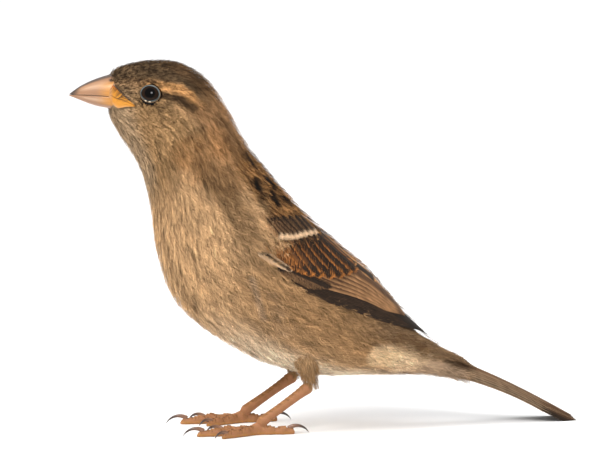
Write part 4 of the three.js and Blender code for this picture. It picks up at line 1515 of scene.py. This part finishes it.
for side, label in SIDES:
    share = np.linspace(0, 1, 40)[:, None]
    turn = circle(24)[None, :]
    parts = [shank_point(side, share, turn)] + [toe_point(side, toe, share, turn) for toe in TOES]
    tubes = [closed_tube("tube", placed(points)) for points in parts]
    foot = link_mesh(f"foot_{label}", joined(f"foot_{label}", tubes), leg_skin)
    melt(foot, 0.2, 2)
    set_tint_by_height(foot.data, SOLE, LEG_SKIN, LEG_PINK)
    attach(foot, "root")
    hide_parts(f"tarsus_{label}", *(f"toe_{label}_{toe.name}" for toe in TOES))

    rows = scute_rows(side)
    mesh = bpy.data.meshes.new(f"scutes_{label}")
    mesh.from_pydata([placed(row[0]).tolist() for row in rows], [], [])
    turns = [Matrix(row[1:4]).transposed().to_euler() for row in rows]
    for key, values in (("turn", turns), ("size", [np.array(row[4]) * MM for row in rows])):
        attribute = mesh.attributes.new(key, "FLOAT_VECTOR", "POINT")
        attribute.data.foreach_set("vector", np.array([list(v) for v in values]).ravel())
    plates = bpy.data.objects.new(f"scutes_{label}", mesh)
    bpy.context.scene.collection.objects.link(plates)
    laying = plates.modifiers.new("scutes", "NODES")
    laying.node_group = scutes
    laying[SCUTE_INPUTS["Curl"]] = SCUTE_CURL
    laying[SCUTE_INPUTS["Free Edge Lift"]] = SCUTE_LIFT
    make_real(plates)
    set_tint_by_height(plates.data, SCUTE, SCUTE, LEG_SKIN)
    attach(plates, "root")

# --- Claws --------------------------------------------------------------------------------------
# Slim hooks, one to a toe: sheaths of dark horn grown over the toes' last bones, paler and
# thicker at the root.

CLAW_HALF_HEIGHT = 0.62
CLAW_SUNK = 1.7                    # mm of its root inside the toe
CLAW_HALF_WIDTH = 0.42
CLAW_PITCH = np.radians((35, -62))  # at the root and at the point
CLAW_TIP_HEIGHT = 0.25
CLAW_ROWS, CLAW_SIDES = 28, 16
CLAW_ROOT_HORN = seen(124, 88, 66)
CLAW_TIP_HORN = seen(58, 42, 36)


def claw_points(side, toe):
    """Rows of points round a claw, whose middle line bends evenly."""
    share = np.linspace(0, 1, CLAW_ROWS)[:, None]
    turn = circle(CLAW_SIDES)[None, :]
    forward, sideways = toe_axes(side, toe)
    bend = (CLAW_PITCH[0] - CLAW_PITCH[1]) / toe.claw
    pitch = CLAW_PITCH[0] + (CLAW_PITCH[1] - CLAW_PITCH[0]) * share
    drop = (np.cos(CLAW_PITCH[0]) - np.cos(CLAW_PITCH[1])) / bend
    taper = np.maximum((1 - share) ** 0.75, 0.05)
    ahead = (np.sin(CLAW_PITCH[0]) - np.sin(pitch)) / bend + toe.length - CLAW_SUNK
    ahead = ahead - CLAW_HALF_HEIGHT * taper * np.sin(turn) * np.sin(pitch)
    root = np.array([side * FOOT[0], FOOT[1], CLAW_TIP_HEIGHT + drop])
    across = CLAW_HALF_WIDTH * taper * np.cos(turn)
    points = root + forward * ahead[..., None] + sideways * across[..., None]
    points[..., 2] += ((np.cos(pitch) - np.cos(CLAW_PITCH[0])) / bend
                       + CLAW_HALF_HEIGHT * taper * np.sin(turn) * np.cos(pitch))
    return placed(points)


def claw(side, toe):
    points = claw_points(side, toe)
    mesh = closed_tube("claw", points)
    dark = ramp(np.linspace(0, 1, CLAW_ROWS), 0.1, 0.7)[:, None]
    tint_tube(mesh, mix(fill(CLAW_ROOT_HORN, points[..., 0]), CLAW_TIP_HORN, dark))
    return mesh


claw_horn = tinted_material("claw_horn", 0.32, specular=0.5)
for side, label in SIDES:
    mesh = joined(f"claws_{label}", [claw(side, toe) for toe in TOES])
    smooth_shade(mesh)
    piece = link_mesh(f"claws_{label}", mesh, claw_horn)
    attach(piece, "root")
    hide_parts(*(f"claw_{label}_{toe.name}" for toe in TOES))
